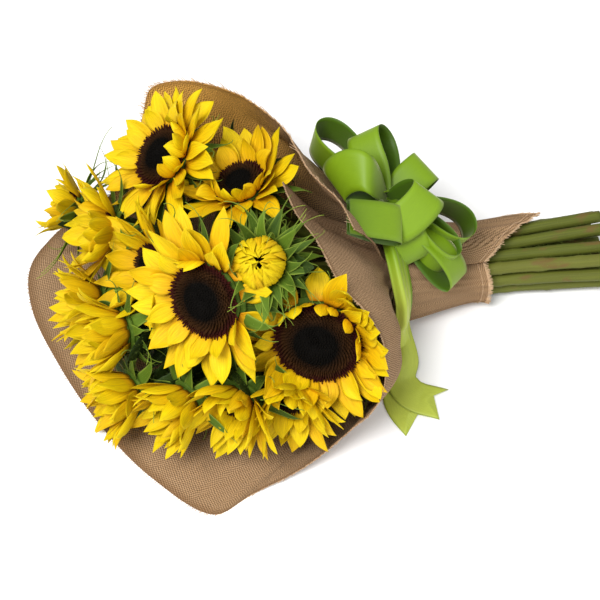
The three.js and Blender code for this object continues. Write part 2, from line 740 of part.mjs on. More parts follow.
// The band that ties the sheet, a closed loop of ribbon round it under the bow.
function bandSolid(lines) {
  const cuts = [-1, -0.5, 0, 0.5, 1].map((share) => BAND_X + (share * BAND_WIDE) / 2);
  const reaches = tangents(lines, cuts);
  const rings = [];
  for (const [x, grow] of [[-1, 0], [-1, 1], [1, 1], [1, 0]]) {
    rings.push(cornersOfTangents(reaches, BAND_X + (x * BAND_WIDE) / 2, BAND_GAP + grow * RIBBON_THICK));
  }
  const points = rings[0].flatMap((corner, side) => rings.map((ring) => ring[side]));
  const faces = [];
  for (let side = 0; side < BAND_SIDES; side += 1) {
    const next = (side + 1) % BAND_SIDES;
    for (let corner = 0; corner < 4; corner += 1) {
      const other = (corner + 1) % 4;
      const [a, b] = [side * 4 + corner, side * 4 + other];
      const [c, d] = [next * 4 + other, next * 4 + corner];
      faces.push([a, b, c], [a, c, d]);
    }
  }
  return solidOfFaces(points, faces);
}

// A strip of ribbon along a list of places, with the way its width runs and its half width.
function stripSolid(places, notch) {
  const points = [];
  const last = places.length - 1;
  places.forEach(({ centre, across, normal }, index) => {
    const tangent = across.clone().cross(normal);
    const half = (RIBBON_WIDE / 2) * mix(TAIL_GATHER, 1, ease(0.4, 0.8, index / last));
    const cut = index === last ? notch : 0;
    for (const face of [-0.5, 0.5]) {
      const level = step(centre, normal, face * RIBBON_THICK);
      points.push(step(level, across, -half), step(level, tangent, cut), step(level, across, half));
    }
  });
  const faces = [];
  for (let index = 0; index < last; index += 1) {
    const a = index * 6;
    const ring = [0, 1, 2, 5, 4, 3];
    for (let corner = 0; corner < 6; corner += 1) {
      const [p, q] = [a + ring[corner], a + ring[(corner + 1) % 6]];
      faces.push([p, q, q + 6], [p, q + 6, p + 6]);
    }
  }
  for (const [end, flip] of [[0, false], [last * 6, true]]) {
    const quads = [[0, 3, 1], [1, 3, 4], [1, 4, 2], [2, 4, 5]];
    for (const [a, b, c] of quads) {
      faces.push(flip ? [end + a, end + c, end + b] : [end + a, end + b, end + c]);
    }
  }
  return solidOfFaces(points, faces);
}

// A teardrop loop that leaves the knot and comes back to it, gathered there, its ends side by side.
// It may arch over what it lies on.
function loopSolid(knot, { tip, across, open, cone, gather, root, arch }, thick) {
  const seat = knot.clone().add(vector(root));
  const reach = tip.clone().sub(seat);
  const along = reach.clone().normalize();
  const wide = vector(across).addScaledVector(along, -vector(across).dot(along)).normalize();
  const part = along.clone().cross(wide);
  const sections = [];
  for (let index = 0; index <= LOOP_STEPS; index += 1) {
    const share = index / LOOP_STEPS;
    const swell = Math.sin(Math.PI * share) ** 2;
    const loosened = ease(0, FULL_WIDTH_AT, Math.min(share, 1 - share));
    const aside = open * Math.sin(TURN * share) * swell * LOOP_BREADTH + LOOP_ENDS_APART * Math.cos(Math.PI * share);
    const centre = step(step(seat, reach, swell), part, aside);
    centre.addScaledVector(vector(BOW_OUT), arch * Math.sin(Math.PI * swell));
    const flare = centre.clone().sub(step(seat, reach, CONE_SEAT)).multiplyScalar(cone * swell);
    const edge = flare.addScaledVector(wide, (RIBBON_WIDE / 2) * mix(gather, 1, loosened));
    sections.push({ centre, edge });
  }
  const points = [];
  sections.forEach(({ centre, edge }, index) => {
    const before = sections[Math.max(index - 1, 0)].centre;
    const after = sections[Math.min(index + 1, LOOP_STEPS)].centre;
    const normal = after.clone().sub(before).cross(edge).normalize();
    for (const [side, face] of [[-1, -1], [1, -1], [1, 1], [-1, 1]]) {
      points.push(step(step(centre, edge, side), normal, (face * thick) / 2));
    }
  });
  return solidOfFaces(points, tubeFaces(LOOP_STEPS + 1, 4));
}

// Faces of a run of sections with the same corners, closed at both ends.
function tubeFaces(sections, corners) {
  const faces = [];
  for (let section = 0; section < sections - 1; section += 1) {
    for (let corner = 0; corner < corners; corner += 1) {
      const a = section * corners + corner;
      const b = section * corners + ((corner + 1) % corners);
      faces.push([a, b, b + corners], [a, b + corners, a + corners]);
    }
  }
  const last = (sections - 1) * corners;
  for (let corner = 1; corner < corners - 1; corner += 1) {
    faces.push([0, corner + 1, corner], [last, last + corner, last + corner + 1]);
  }
  return faces;
}

// A strip that follows its centres and keeps both of its edges above the floor.
function stripAlong(centres, wide, floor, notch) {
  const last = centres.length - 1;
  const places = centres.map((place, index) => {
    const tangent = centres[Math.min(index + 1, last)].clone().sub(centres[Math.max(index - 1, 0)]).normalize();
    const across = wide.clone().addScaledVector(tangent, -wide.dot(tangent)).normalize();
    const centre = place.clone();
    centre.z = Math.max(centre.z, floor + (Math.abs(across.z) * RIBBON_WIDE) / 2);
    return { centre, across, normal: tangent.clone().cross(across) };
  });
  return stripSolid(places, notch);
}

// How far out a solid has to be moved before it clears what is there.
function liftToClear(make, obstacles) {
  let lift = 0;
  while (lift < MOST_LIFT && !isClear(make(lift), obstacles)) {
    lift += LIFT_STEP;
  }
  return lift;
}

// The ways that a loop can keep off what it lies on: its tip moved out, and its middle arched.
function loopTries(loop) {
  const tries = [];
  for (let lift = 0; lift < MOST_LIFT; lift += TIP_STEP) {
    for (let arch = 0; arch < MOST_ARCH; arch += ARCH_STEP) {
      tries.push({ ...loop, tip: step(vector(loop.tip), vector(BOW_OUT), lift), arch, change: lift + arch / 2 });
    }
  }
  return tries.sort((a, b) => a.change - b.change);
}

function bowSolid(obstacles) {
  const out = vector(BOW_OUT);
  const ball = (lift) => {
    const seat = step(vector(KNOT), out, lift);
    return solidOfGeometry(new THREE.SphereGeometry(KNOT_RADIUS, 9, 6).translate(seat.x, seat.y, seat.z));
  };
  const knotLift = liftToClear(ball, obstacles);
  const seat = step(vector(KNOT), out, knotLift);
  const padded = RIBBON_THICK + 2 * CLEARANCE;
  const loops = LOOPS.map((loop) => loopTries(loop).find((tried) => isClear(loopSolid(seat, tried, padded), obstacles)));
  const strips = loops.filter((loop) => loop).map((loop) => loopSolid(seat, loop, RIBBON_THICK));
  return fused([ball(knotLift + CLEARANCE), ...strips]);
}

// The two loose ends of the ribbon come down over the near side and lie on the table. Each is
// draped over the sheet at one place along it, then follows its own way out.
const TAILS = [
  { name: "ribbon_tail_left", drape: -21, lift: 1.2, floor: 1.2, ends: [
    [-20, -84, 8], [-29, -98, 1.4], [-32, -124, 1.2], [-23, -150, 1.2]] },
  { name: "ribbon_tail_right", drape: -16, lift: 2.6, floor: 3, ends: [
    [-10, -88, 14], [-16, -100, 5], [-14, -116, 3.2], [4, -134, 3.2]] },
];

function tailSolid({ drape, lift, floor, ends }, lines, extra) {
  const outer = drape - (TAIL_GATHER * RIBBON_WIDE) / 2;
  const over = cornersOfTangents(tangents(lines, [outer, mix(outer, drape, 0.5), drape]), drape, lift + extra);
  const nearSide = over.slice(1, 7).filter((corner) => corner.y < 6);
  const curve = new THREE.CatmullRomCurve3([...nearSide, ...ends.map(vector)]);
  return stripAlong(curve.getSpacedPoints(TAIL_STEPS), new THREE.Vector3(1, 0.12, 0), floor, TAIL_NOTCH);
}

// Assembly

function sunflowerBunch() {
  const bunch = new THREE.Group();
  const heads = BLOOMS.map((bloom) => {
    const frame = headFrame(bloom);
    const curve = stemCurve(bloom, frame);
    const core = fused([stemSolid(curve), receptacleSolid(bloom, frame)]);
    return { bloom, frame, curve, core, disc: discSolid(bloom, frame), plate: plateSolid(bloom, frame) };
  });
  const lines = sheetLines();
  const sheet = sheetOfGrid(lines, BURLAP_THICK);
  const band = bandSolid(lines);
  const tied = [sheet, band];
  const tails = TAILS.map((tail) => {
    const lift = liftToClear((extra) => tailSolid(tail, lines, extra), tied.map(obstacle));
    const solid = tailSolid(tail, lines, lift + CLEARANCE);
    tied.push(solid);
    return { name: tail.name, solid };
  });
  const bow = bowSolid(tied.map(obstacle));
  const fixed = [sheet, band, bow, ...tails.map((tail) => tail.solid)].map(obstacle);
  const cores = heads.map((head) => obstacle(head.core));
  const discs = heads.map((head) => obstacle(head.disc));
  const rings = heads.map((head) => obstacle(head.plate));
  heads.forEach((head, index) => {
    const others = [...fixed, ...cores, ...discs, ...rings.filter((ring, place) => place !== index)];
    const petals = petalSolids(head.bloom, head.frame, others);
    head.petals = fused([head.plate, ...petals]);
    rings[index] = obstacle(head.petals);
  });
  const greens = [...cores];
  heads.forEach((head, index) => {
    const others = [...fixed, ...discs, ...rings, ...greens.filter((green, place) => place !== index)];
    const bracts = bractSolids(head.bloom, head.frame, others);
    const leaves = leafSolids(head.bloom, head.frame, head.curve, others, bracts.map(obstacle));
    head.green = fused([head.core, ...bracts, ...leaves]);
    greens[index] = obstacle(head.green);
  });

  const add = (name, solid, material) => {
    const mesh = new THREE.Mesh(geometryOfSolid(solid), material);
    mesh.name = name;
    bunch.add(mesh);
  };
  add("burlap_wrap", sheet, colours.burlap);
  add("ribbon_band", band, colours.ribbon);
  add("ribbon_bow", bow, colours.ribbon);
  for (const tail of tails) {
    add(tail.name, tail.solid, colours.ribbon);
  }
  for (const { bloom, green, petals, disc } of heads) {
    add(`stem_${bloom.name}`, green, colours.green);
    add(`petals_${bloom.name}`, petals, colours.petal);
    add(`disc_${bloom.name}`, disc, colours.disc);
  }
  return bunch;
}

const sunflowers = sunflowerBunch();
const bounds = new THREE.Box3().setFromObject(sunflowers);
sunflowers.position.set(-(bounds.min.x + bounds.max.x) / 2, -(bounds.min.y + bounds.max.y) / 2, -bounds.min.z);

export default sunflowers;
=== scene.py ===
"""A bunch of sunflowers in burlap, tied with a satin bow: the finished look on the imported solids."""
import math

import bpy
import numpy as np
from mathutils import Matrix, Vector, noise
from mathutils.bvhtree import BVHTree


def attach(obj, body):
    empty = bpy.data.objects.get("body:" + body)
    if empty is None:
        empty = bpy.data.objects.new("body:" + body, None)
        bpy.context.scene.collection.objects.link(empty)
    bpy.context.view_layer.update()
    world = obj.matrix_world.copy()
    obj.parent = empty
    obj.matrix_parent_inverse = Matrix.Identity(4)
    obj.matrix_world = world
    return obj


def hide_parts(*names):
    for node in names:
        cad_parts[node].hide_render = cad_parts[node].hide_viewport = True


# Places are worked out in millimetres from the point on the table under the ribbon band, as in
# the part's source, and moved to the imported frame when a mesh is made.
MM = 0.001
SHIFT = np.array([69.3, -6.1, 0.0])
TURN = 2 * math.pi
UP = np.array([0.0, 0.0, 1.0])

# The photograph's view: its directions across, up and out of the picture, the lens in pixels of a
# square picture, and the place by the neck that falls on one pixel of it, with its distance.
VIEW_RIGHT = np.array([0.970, -0.242, 0.0])
VIEW_UP = np.array([0.198, 0.795, 0.574])
TOWARDS = np.array([-0.139, -0.557, 0.819])
PHOTO_WIDE = 600
FOCAL_PIXELS = 1141
NECK_PIXEL = (400, 262)
NECK_PLACE = np.array([0, 0, 45])
NECK_AWAY = 1070
SENSOR_WIDE = 36
FLOOR_REACH = 15000.0

# Stems
STEM_RADIUS = 5.9
STEM_PITCH = 13.1
WAIST_X = 74
LOWEST_STEM_Z = 11.2
STEM_SPREAD = 1.26
STEM_ENDS_X = (196, 232)
STEM_ENDS_ASIDE = -16
STEM_STEPS = 90
STEM_SIDES = 14
KNOTS_ON_STEM = 5
FAN_POWER = 1.9
RECEPTACLE_TOP = 7.7
RECEPTACLE_DEPTH = 17
PLATE_OVERHANG = 4
CUP_SIDES = 36
DISC_UNDERSIDE = 3.3

# Petals and florets. A petal that leans further up than this beyond its bloom's own lean is not
# turned aside, and a floret's thickness is in metres.
KEPT_PITCH = 64
PETAL_STEPS = 11
DISC_SIDES = 40
FLORET_THICK = 0.00105
FLORETS_FOR_RADIUS = 0.62
DISC_CROWN = 0.16
GOLDEN_ANGLE = 2.399963

# Burlap
BURLAP_THICK = 0.9
SHEET_COLUMNS = 330
SHEET_ROWS = 120
OVERLAP_LIFT = 4
TABLE_GAP = 0.3
EDGE_ROWS = 3
INNER_FACE = 2
WEAVE_PITCH = 1.9
WEAVE_RADIUS = 220

# Rings of the sheet round the bundle: the place along it, half the width, half the height and the
# height of the middle. A power below one makes them rounded rectangles.
HEM_RING = (74, 45, 25.5, 25.5)
WAIST_RING = (62, 42, 24.4, 25)
BAND_RING = (-2, 54, 42, 43.7)
THROAT_RING = (-24, 57, 44.5, 46.5)
RING_POWER = 0.66

# The flap of the hem that lies over the stems: how far it runs out, how it hangs there, the
# direction of its corner, how far round it fades, and how wide its straight edge is.
FLAP_LENGTH = 72
FLAP_HANG = (0, 12, 1)
FLAP_ANGLE = 312
FLAP_FADE = 42
FLAP_SPREAD = 1.31

# Ribbon
RIBBON_WIDE = 33
RIBBON_THICK = 0.5
BAND_X = -14
BAND_WIDE = 16
BAND_SIDES = 22
KNOT = np.array([-9.5, 26.5, 106.2])
KNOT_RADIUS = 9
FULL_WIDTH_AT = 0.26
LOOP_STEPS = 72
TAIL_STEPS = 70
TAIL_GATHER = 0.4
TAIL_NOTCH = -17
NOTCH_SHARES = (1, 0.86, 0.72, 0.58, 0.44, 0.3, 0.16)

# Tints of the ribbon, which paint its light and shade: from the painted shade inside a loop up to the
# painted light on the ends of the tails
BOW_TINT = 0.5
INSIDE_SHADE_TINT = 0.16

# Every bloom: where its disc is, where it faces, its disc radius, its petals and its slot in
# the bundle of stems, counted across from the middle and up from the lowest row.
BLOOMS = [
    dict(name="front", centre=(-110, -111, 113), facing=(-0.42, -0.8, 0.43), disc=35.5, petals=44,
         length=46, wide=21, open=0, bend=6, bracts=16, leaves=2, slot=(-1.75, 2), seed=11),
    dict(name="centre", centre=(-194, -71, 148), facing=(-0.66, -0.57, 0.49), disc=31, petals=44,
         length=47, wide=20, open=4, bend=4, bracts=18, leaves=4, slot=(-1.05, 1), seed=23),
    dict(name="left_back", centre=(-200, 90, 150), facing=(-0.62, -0.02, 0.78), disc=28, petals=40,
         length=45, wide=19, open=6, bend=4, bracts=24, leaves=4, slot=(1.5, 1.85), seed=37),
    dict(name="back", centre=(-140, 43, 150), facing=(-0.3, 0.12, 0.94), disc=22, petals=32,
         length=44, wide=19, open=18, bend=4, bracts=26, leaves=3, slot=(0.4, 1.85), seed=41),
    dict(name="bud", centre=(-145, -63, 171), facing=(-0.2, -0.48, 0.85), disc=14.5, petals=72,
         length=35, wide=7.5, open=72, bend=92, bracts=76, leaves=1, slot=(-0.7, 2), seed=53),
    dict(name="far_left", centre=(-290, 124, 66), facing=(-0.88, 0.34, 0.3), disc=14, petals=28,
         length=36, wide=14, open=42, bend=10, bracts=22, leaves=2, slot=(2, 0), seed=61),
    dict(name="left_high", centre=(-262, 62, 98), facing=(-0.95, 0.06, 0.3), disc=19, petals=32,
         length=48, wide=18, open=34, bend=6, bracts=18, leaves=3, slot=(2.1, 1), seed=71),
    dict(name="left_inner", centre=(-232, 0, 112), facing=(-0.86, -0.08, 0.5), disc=20, petals=32,
         length=50, wide=18, open=24, bend=6, bracts=18, leaves=4, slot=(1.05, 1), seed=83),
    dict(name="left_outer", centre=(-286, 12, 62), facing=(-0.96, 0.04, 0.25), disc=16, petals=38,
         length=46, wide=15, open=52, bend=2, bracts=14, leaves=3, slot=(1, 0), seed=89),
    dict(name="left_low", centre=(-270, -40, 84), facing=(-0.94, -0.24, 0.24), disc=17, petals=38,
         length=47, wide=15, open=56, bend=2, bracts=16, leaves=4, slot=(0, 1), seed=97),
    dict(name="low_left", centre=(-272, -78, 44), facing=(-0.92, -0.38, 0.12), disc=16, petals=38,
         length=45, wide=15, open=58, bend=2, bracts=16, leaves=3, slot=(0, 0), seed=101),
    dict(name="low_middle", centre=(-228, -108, 56), facing=(-0.84, -0.54, 0.1), disc=16, petals=38,
         length=45, wide=15, open=58, bend=2, bracts=16, leaves=4, slot=(-1, 0), seed=113),
    dict(name="low_right", centre=(-182, -124, 64), facing=(-0.62, -0.78, 0.06), disc=17, petals=38,
         length=46, wide=15, open=46, bend=4, bracts=16, leaves=4, slot=(-2, 0), seed=127),
    dict(name="low_front", centre=(-138, -130, 63), facing=(-0.36, -0.93, 0.06), disc=17, petals=32,
         length=44, wide=17, open=40, bend=4, bracts=14, leaves=3, slot=(-2.1, 1), seed=131),
]

# Short petals that fold over a disc: the direction round it as the picture shows it, in degrees
# from the right, how far to each side they go, and how many there are.
FOLDED = dict(front=(62, 74, 9), left_back=(0, 55, 7), back=(-100, 75, 8), centre=(95, 20, 3))

# Petals pushed down by the bud that lies over them: the direction, as above, and how far each way.
PUSHED = dict(centre=(12, 50), front=(112, 34), left_inner=(0, 50))

# Layers of petals from the lowest up: place beyond the disc's rim, depth, length and extra lean.
PETAL_LAYERS = [
    (0.3, -6.4, 1.0, 0), (-0.2, -5.4, 0.97, 7), (-0.8, -4.3, 0.88, 17), (-1.4, -3.0, 0.62, 36),
]

# Rings of the green carrier under the petals: the depth, and the radius beyond the disc's.
CARRIER = [(7.3, -0.6), (6.2, -0.2), (4.8, -0.7), (3.7, -1.8)]

# The sheet's free edge round the mouth: the angle round the bundle in degrees, from the top
# towards the near side, and the place.
MOUTH = np.array([
    (-8, -107, 12, 177), (12, -105, -27, 180), (24, -96, -58, 178), (38, -87, -92, 170),
    (50, -74, -118, 163), (62, -64, -136, 143), (74, -63, -149, 121), (86, -71, -163, 86),
    (97, -93, -162, 46), (107, -136, -170, 10), (115, -184, -178, 1), (124, -219, -188, 0),
    (138, -264, -142, 0), (155, -299, -82, 0), (176, -328, -8, 0), (200, -346, 66, 1),
    (214, -340, 112, 3), (230, -301, 152, 7), (246, -265, 150, 28), (264, -232, 156, 66),
    (282, -206, 186, 104), (289, -194, 200, 124), (295, -170, 189, 140), (304, -140, 163, 152),
    (319, -110, 115, 167), (336, -92, 62, 180), (347, -90, 31, 187), (358, -85, 5, 188),
    (370, -68, -22, 181), (380, -60, -42, 164),
], float)

# Ribbon loops: the far end of each loop, the way the ribbon's width runs there, how far its two
# strands part, how much wider the loop is along one edge than along the other, its width where it
# starts, where that is from the knot, and how far it is lifted and arched over what it lies on.
PLAIN_LOOP = dict(cone=0, gather=0.3, root=(0, 0, 0), lift=0, arch=0)
LOOPS = [{**PLAIN_LOOP, **loop} for loop in (
    dict(tip=(-52, 112, 121), across=(0.29, -0.39, 0.87), open=31),
    dict(tip=(-8, 93, 127), across=(0.72, -0.58, 0.38), open=34),
    dict(tip=(36, 56, 104), across=(0.45, -0.82, -0.36), open=30),
    dict(tip=(38, -47, 63), across=(-0.68, -0.69, 0.25), open=20, arch=14),
    dict(tip=(61, -8, 77), across=(0.04, -0.23, 0.97), open=32, arch=12),
    dict(tip=(35, -34, 77), across=(0.21, 0.02, 0.98), open=26, arch=12),
    dict(tip=(3, -30, 86), across=(0.97, -0.09, 0.23), open=20, lift=6, arch=14),
    dict(tip=(-50, 45, 128), across=(-0.55, -0.80, 0.25), open=31, cone=-0.5, lift=12, arch=16),
    dict(tip=(5, -9, 128), across=(-0.51, 0.51, 0.69), open=44, cone=-0.25, lift=9, arch=6),
    dict(tip=(-12, -20, 126), across=(-0.11, -0.87, -0.49), open=14, gather=0.9, root=(-51, -49, 51)),
)]

# The two loose ends of the ribbon: where each is draped over the sheet and its way out from there.
TAILS = [
    dict(name="left", drape=-21, lift=1.8, floor=1.2,
         ends=[(-20, -84, 8), (-29, -98, 1.4), (-32, -124, 1.2), (-23, -150, 1.2)]),
    dict(name="right", drape=-16, lift=3.4, floor=3,
         ends=[(-19, -88, 14), (-26, -100, 5), (-21, -117, 3.2), (4, -134, 3.2)]),
]


# Numbers and lines

def draws(seed):
    """The same run of random numbers as in the part's source."""
    state = seed

    def draw(low, high):
        nonlocal state
        state = (state * 1664525 + 1013904223) % 4294967296
        return low + (high - low) * state / 4294967296
    return draw


def unit(vector):
    """The direction of a vector, or of each vector in an array."""
    vector = np.asarray(vector, float)
    return vector / np.maximum(np.linalg.norm(vector, axis=-1, keepdims=True), 1e-9)


def ease(start, end, value):
    """A soft step from 0 to 1 between two values."""
    share = np.clip((np.asarray(value, float) - start) / (end - start), 0, 1)
    return share * share * (3 - 2 * share)


def spline(points, shares):
    """Places on a smooth line through the points, at the same share of a span for each."""
    knots = np.asarray(points, float)
    padded = np.vstack([2 * knots[0] - knots[1], knots, 2 * knots[-1] - knots[-2]])
    place = np.clip(shares, 0, 1) * (len(knots) - 1)
    span = np.minimum(place.astype(int), len(knots) - 2)
    w = (place - span)[:, None]
    a, b, c, d = (padded[span + k] for k in range(4))
    e, f, g = (np.sqrt(np.linalg.norm(q - p, axis=1))[:, None] for p, q in ((a, b), (b, c), (c, d)))
    start = ((b - a) / e - (c - a) / (e + f) + (c - b) / f) * f
    end = ((c - b) / f - (d - b) / (f + g) + (d - c) / g) * f
    return b + start * w + (3 * c - 3 * b - 2 * start - end) * w**2 + (2 * b - 2 * c + start + end) * w**3


def evenly(points, count, shares=None):
    """Places at even steps along a smooth line through the points."""
    fine = np.linspace(0, 1, 241)
    run = np.concatenate([[0], np.cumsum(np.linalg.norm(np.diff(spline(points, fine), axis=0), axis=1))])
    wanted = np.linspace(0, 1, count) if shares is None else shares
    return spline(points, np.interp(wanted * run[-1], run, fine))


def travelled(line):
    """The length of a line of places."""
    return float(np.linalg.norm(np.diff(line, axis=0), axis=1).sum())


def directions(line):
    """The direction of travel at each place of a line."""
    return unit(np.gradient(line, axis=0))


# Meshes

class Heap:
    """Points, faces and values of many small forms that become one piece."""

    def __init__(self):
        self.points, self.places, self.tints = [], [], []
        self.faces, self.slots = [], []
        self.count = 0

    def add(self, points, faces, places=None, tint=0.5, slot=0):
        points = np.asarray(points, float).reshape(-1, 3)
        self.points.append(points)
        self.places.append(np.zeros((len(points), 2)) if places is None else places.reshape(-1, 2))
        self.tints.append(np.broadcast_to(tint, len(points)).astype(float))
        self.faces.extend([[corner + self.count for corner in face] for face in faces])
        self.slots.extend([slot] * len(faces))
        self.count += len(points)

    def mesh(self, name, materials, moved=True):
        """A mesh in metres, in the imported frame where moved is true."""
        points = np.vstack(self.points)
        points = (points + SHIFT) * MM if moved else points * MM
        mesh = bpy.data.meshes.new(name)
        mesh.from_pydata(points.tolist(), [], self.faces)
        for material in materials:
            mesh.materials.append(material)
        mesh.polygons.foreach_set("material_index", self.slots)
        mesh.polygons.foreach_set("use_smooth", [True] * len(self.faces))
        corner = np.zeros(len(mesh.loops), int)
        mesh.loops.foreach_get("vertex_index", corner)
        layer = mesh.uv_layers.new(name="surface")
        layer.data.foreach_set("uv", np.vstack(self.places)[corner].ravel())
        tint = mesh.attributes.new("tint", "FLOAT", "POINT")
        tint.data.foreach_set("value", np.concatenate(self.tints))
        mesh.update()
        return mesh


def outward(points, faces):
    """The faces, turned round if they enclose their points inside out."""
    volume = 0.0
    for face in faces:
        fan = points[face]
        volume += np.sum(fan[0] * np.cross(fan[1:-1], fan[2:]))
    return faces if volume > 0 else [face[::-1] for face in faces]


def tube(rings):
    """Points and faces of a run of rings with the same number of corners, closed at both ends."""
    count, corners = rings.shape[:2]
    here = np.arange((count - 1) * corners).reshape(count - 1, corners)
    beside = np.roll(here, -1, axis=1)
    quads = np.stack([here, beside, beside + corners, here + corners], axis=-1).reshape(-1, 4).tolist()
    last = (count - 1) * corners
    quads += [list(range(corners))[::-1], list(range(last, last + corners))]
    points = rings.reshape(-1, 3)
    return points, outward(points, quads)


def tree_of(points, faces):
    """A search tree of one shape, to test what meets it."""
    return BVHTree.FromPolygons([tuple(point) for point in points], faces)


def basis_of(right, up, out):
    """The turn that brings the three axes to three directions."""
    return Matrix([right.tolist(), up.tolist(), out.tolist()]).transposed().to_4x4()


def piece(name, mesh, replaced=()):
    """The object of a finished mesh, riding on the bunch and standing for its nodes."""
    made = bpy.data.objects.new(name, mesh)
    bpy.context.scene.collection.objects.link(made)
    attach(made, "root")
    if replaced:
        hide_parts(*replaced)
    return made


# Nodes

class Nodes:
    """Adds and joins the nodes of one tree."""

    def __init__(self, tree):
        self.tree = tree

    def add(self, kind, inputs=None, **settings):
        node = self.tree.nodes.new(kind)
        for key, value in settings.items():
            setattr(node, key, value)
        for key, value in (inputs or {}).items():
            self.feed(node.inputs[key], value)
        return node

    def feed(self, socket, value):
        if isinstance(value, bpy.types.NodeSocket):
            self.tree.links.new(value, socket)
        else:
            socket.default_value = value

    def calc(self, operation, *values):
        node = self.add("ShaderNodeMath", operation=operation)
        for socket, value in zip(node.inputs, values):
            self.feed(socket, value)
        return node.outputs[0]

    def blend(self, share, first, second, kind="MIX"):
        node = self.add("ShaderNodeMix", data_type="RGBA", blend_type=kind)
        for index, value in ((0, share), (6, first), (7, second)):
            self.feed(node.inputs[index], value)
        return node.outputs[2]

    def between(self, value, low, high, start=0.0, end=1.0):
        node = self.add("ShaderNodeMapRange", interpolation_type="SMOOTHSTEP")
        for index, given in enumerate((value, low, high, start, end)):
            self.feed(node.inputs[index], given)
        return node.outputs[0]

    def spots(self, vector, scale, detail=2.0, roughness=0.5):
        inputs = {"Vector": vector, "Scale": scale, "Detail": detail, "Roughness": roughness}
        return self.add("ShaderNodeTexNoise", inputs).outputs[0]

    def stretched(self, vector, scale):
        return self.add("ShaderNodeMapping", {"Vector": vector, "Scale": scale}).outputs[0]

    def ramp(self, value, stops):
        node = self.add("ShaderNodeValToRGB", {"Fac": value})
        elements = node.color_ramp.elements
        while len(elements) < len(stops):
            elements.new(0.5)
        for element, (place, colour) in zip(elements, stops):
            element.position = place
            element.color = (*colour, 1)
        return node.outputs[0]

    def axes(self, vector):
        return self.add("ShaderNodeSeparateXYZ", {"Vector": vector}).outputs

    def vector(self, x, y, z):
        return self.add("ShaderNodeCombineXYZ", {"X": x, "Y": y, "Z": z}).outputs[0]

    def scaled(self, vector, scale):
        inputs = {0: vector, "Scale": scale}
        return self.add("ShaderNodeVectorMath", inputs, operation="SCALE").outputs[0]

    def summed(self, first, second):
        return self.add("ShaderNodeVectorMath", {0: first, 1: second}, operation="ADD").outputs[0]

    def place(self):
        """The place on the piece in metres, which stays with the piece."""
        return self.add("ShaderNodeTexCoord").outputs["Object"]

    def mapped(self):
        """The piece's own map and its tint for each petal, leaf or thread."""
        place = self.add("ShaderNodeUVMap", uv_map="surface").outputs[0]
        tint = self.add("ShaderNodeAttribute", attribute_name="tint").outputs["Fac"]
        return place, tint

    def grouped(self, tree, inputs):
        return self.add("ShaderNodeGroup", inputs, node_tree=tree).outputs

    def surface(self, colour, roughness, specular=0.5, relief=None, constants=None):
        """Feeds the shader. The relief is its height, its strength and its depth in metres."""
        values = {"Base Color": colour, "Roughness": roughness, "Specular IOR Level": specular}
        if relief:
            inputs = dict(zip(("Height", "Strength", "Distance"), relief))
            values["Normal"] = self.add("ShaderNodeBump", inputs).outputs[0]
        sockets = self.tree.nodes["Principled BSDF"].inputs
        for key, value in {**values, **(constants or {})}.items():
            self.feed(sockets[key], value)

    def chance(self, low, high, seed):
        inputs = {2: low, 3: high, "Seed": seed}
        return self.add("FunctionNodeRandomValue", inputs).outputs[1]

    def jitter(self, reach, seed):
        inputs = {0: (-reach,) * 3, 1: (reach,) * 3, "Seed": seed}
        return self.add("FunctionNodeRandomValue", inputs, data_type="FLOAT_VECTOR").outputs[0]

    def cone(self, sides, top, depth, **settings):
        inputs = {"Vertices": sides, "Radius Top": top, "Radius Bottom": 1.0, "Depth": depth}
        return self.add("GeometryNodeMeshCone", inputs, **settings).outputs[0]

    def set_on(self, points, instance, aim, size):
        """A copy of the instance on each point, turned along its aim."""
        turned = self.add("FunctionNodeAlignRotationToVector", {"Vector": aim}, axis="Z").outputs[0]
        inputs = {"Points": points, "Instance": instance, "Rotation": turned, "Scale": size}
        return self.add("GeometryNodeInstanceOnPoints", inputs).outputs[0]

    def dressed(self, instances, material):
        """The instances as real geometry in their own material."""
        real = self.add("GeometryNodeRealizeInstances", {"Geometry": instances}).outputs[0]
        inputs = {"Geometry": real, "Material": material}
        return self.add("GeometryNodeSetMaterial", inputs).outputs[0]


def shader_group(name, inputs, outputs):
    """An empty shader node group with its named sockets, its node maker, its ends."""
    tree = bpy.data.node_groups.new(name, "ShaderNodeTree")
    for label, kind, value in inputs:
        socket = tree.interface.new_socket(label, in_out="INPUT", socket_type=kind)
        if value is not None:
            socket.default_value = value
    for label, kind in outputs:
        tree.interface.new_socket(label, in_out="OUTPUT", socket_type=kind)
    nodes = Nodes(tree)
    return nodes, nodes.add("NodeGroupInput").outputs, nodes.add("NodeGroupOutput").inputs


def material(name):
    """A new material and its node maker."""
    made = bpy.data.materials.new(name)
    made.use_nodes = True
    return made, Nodes(made.node_tree)


def rgb(red, green, blue):
    """A colour given as a screen shows it, from 0 to 255, as the light that it stands for.

    A value above 255 brightens what it is multiplied with.
    """
    return tuple(((c / 255 + 0.055) / 1.055) ** 2.4 if c > 10 else c / 3295 for c in (red, green, blue))


def rgba(*colour):
    return (*rgb(*colour), 1)


# Shared effects

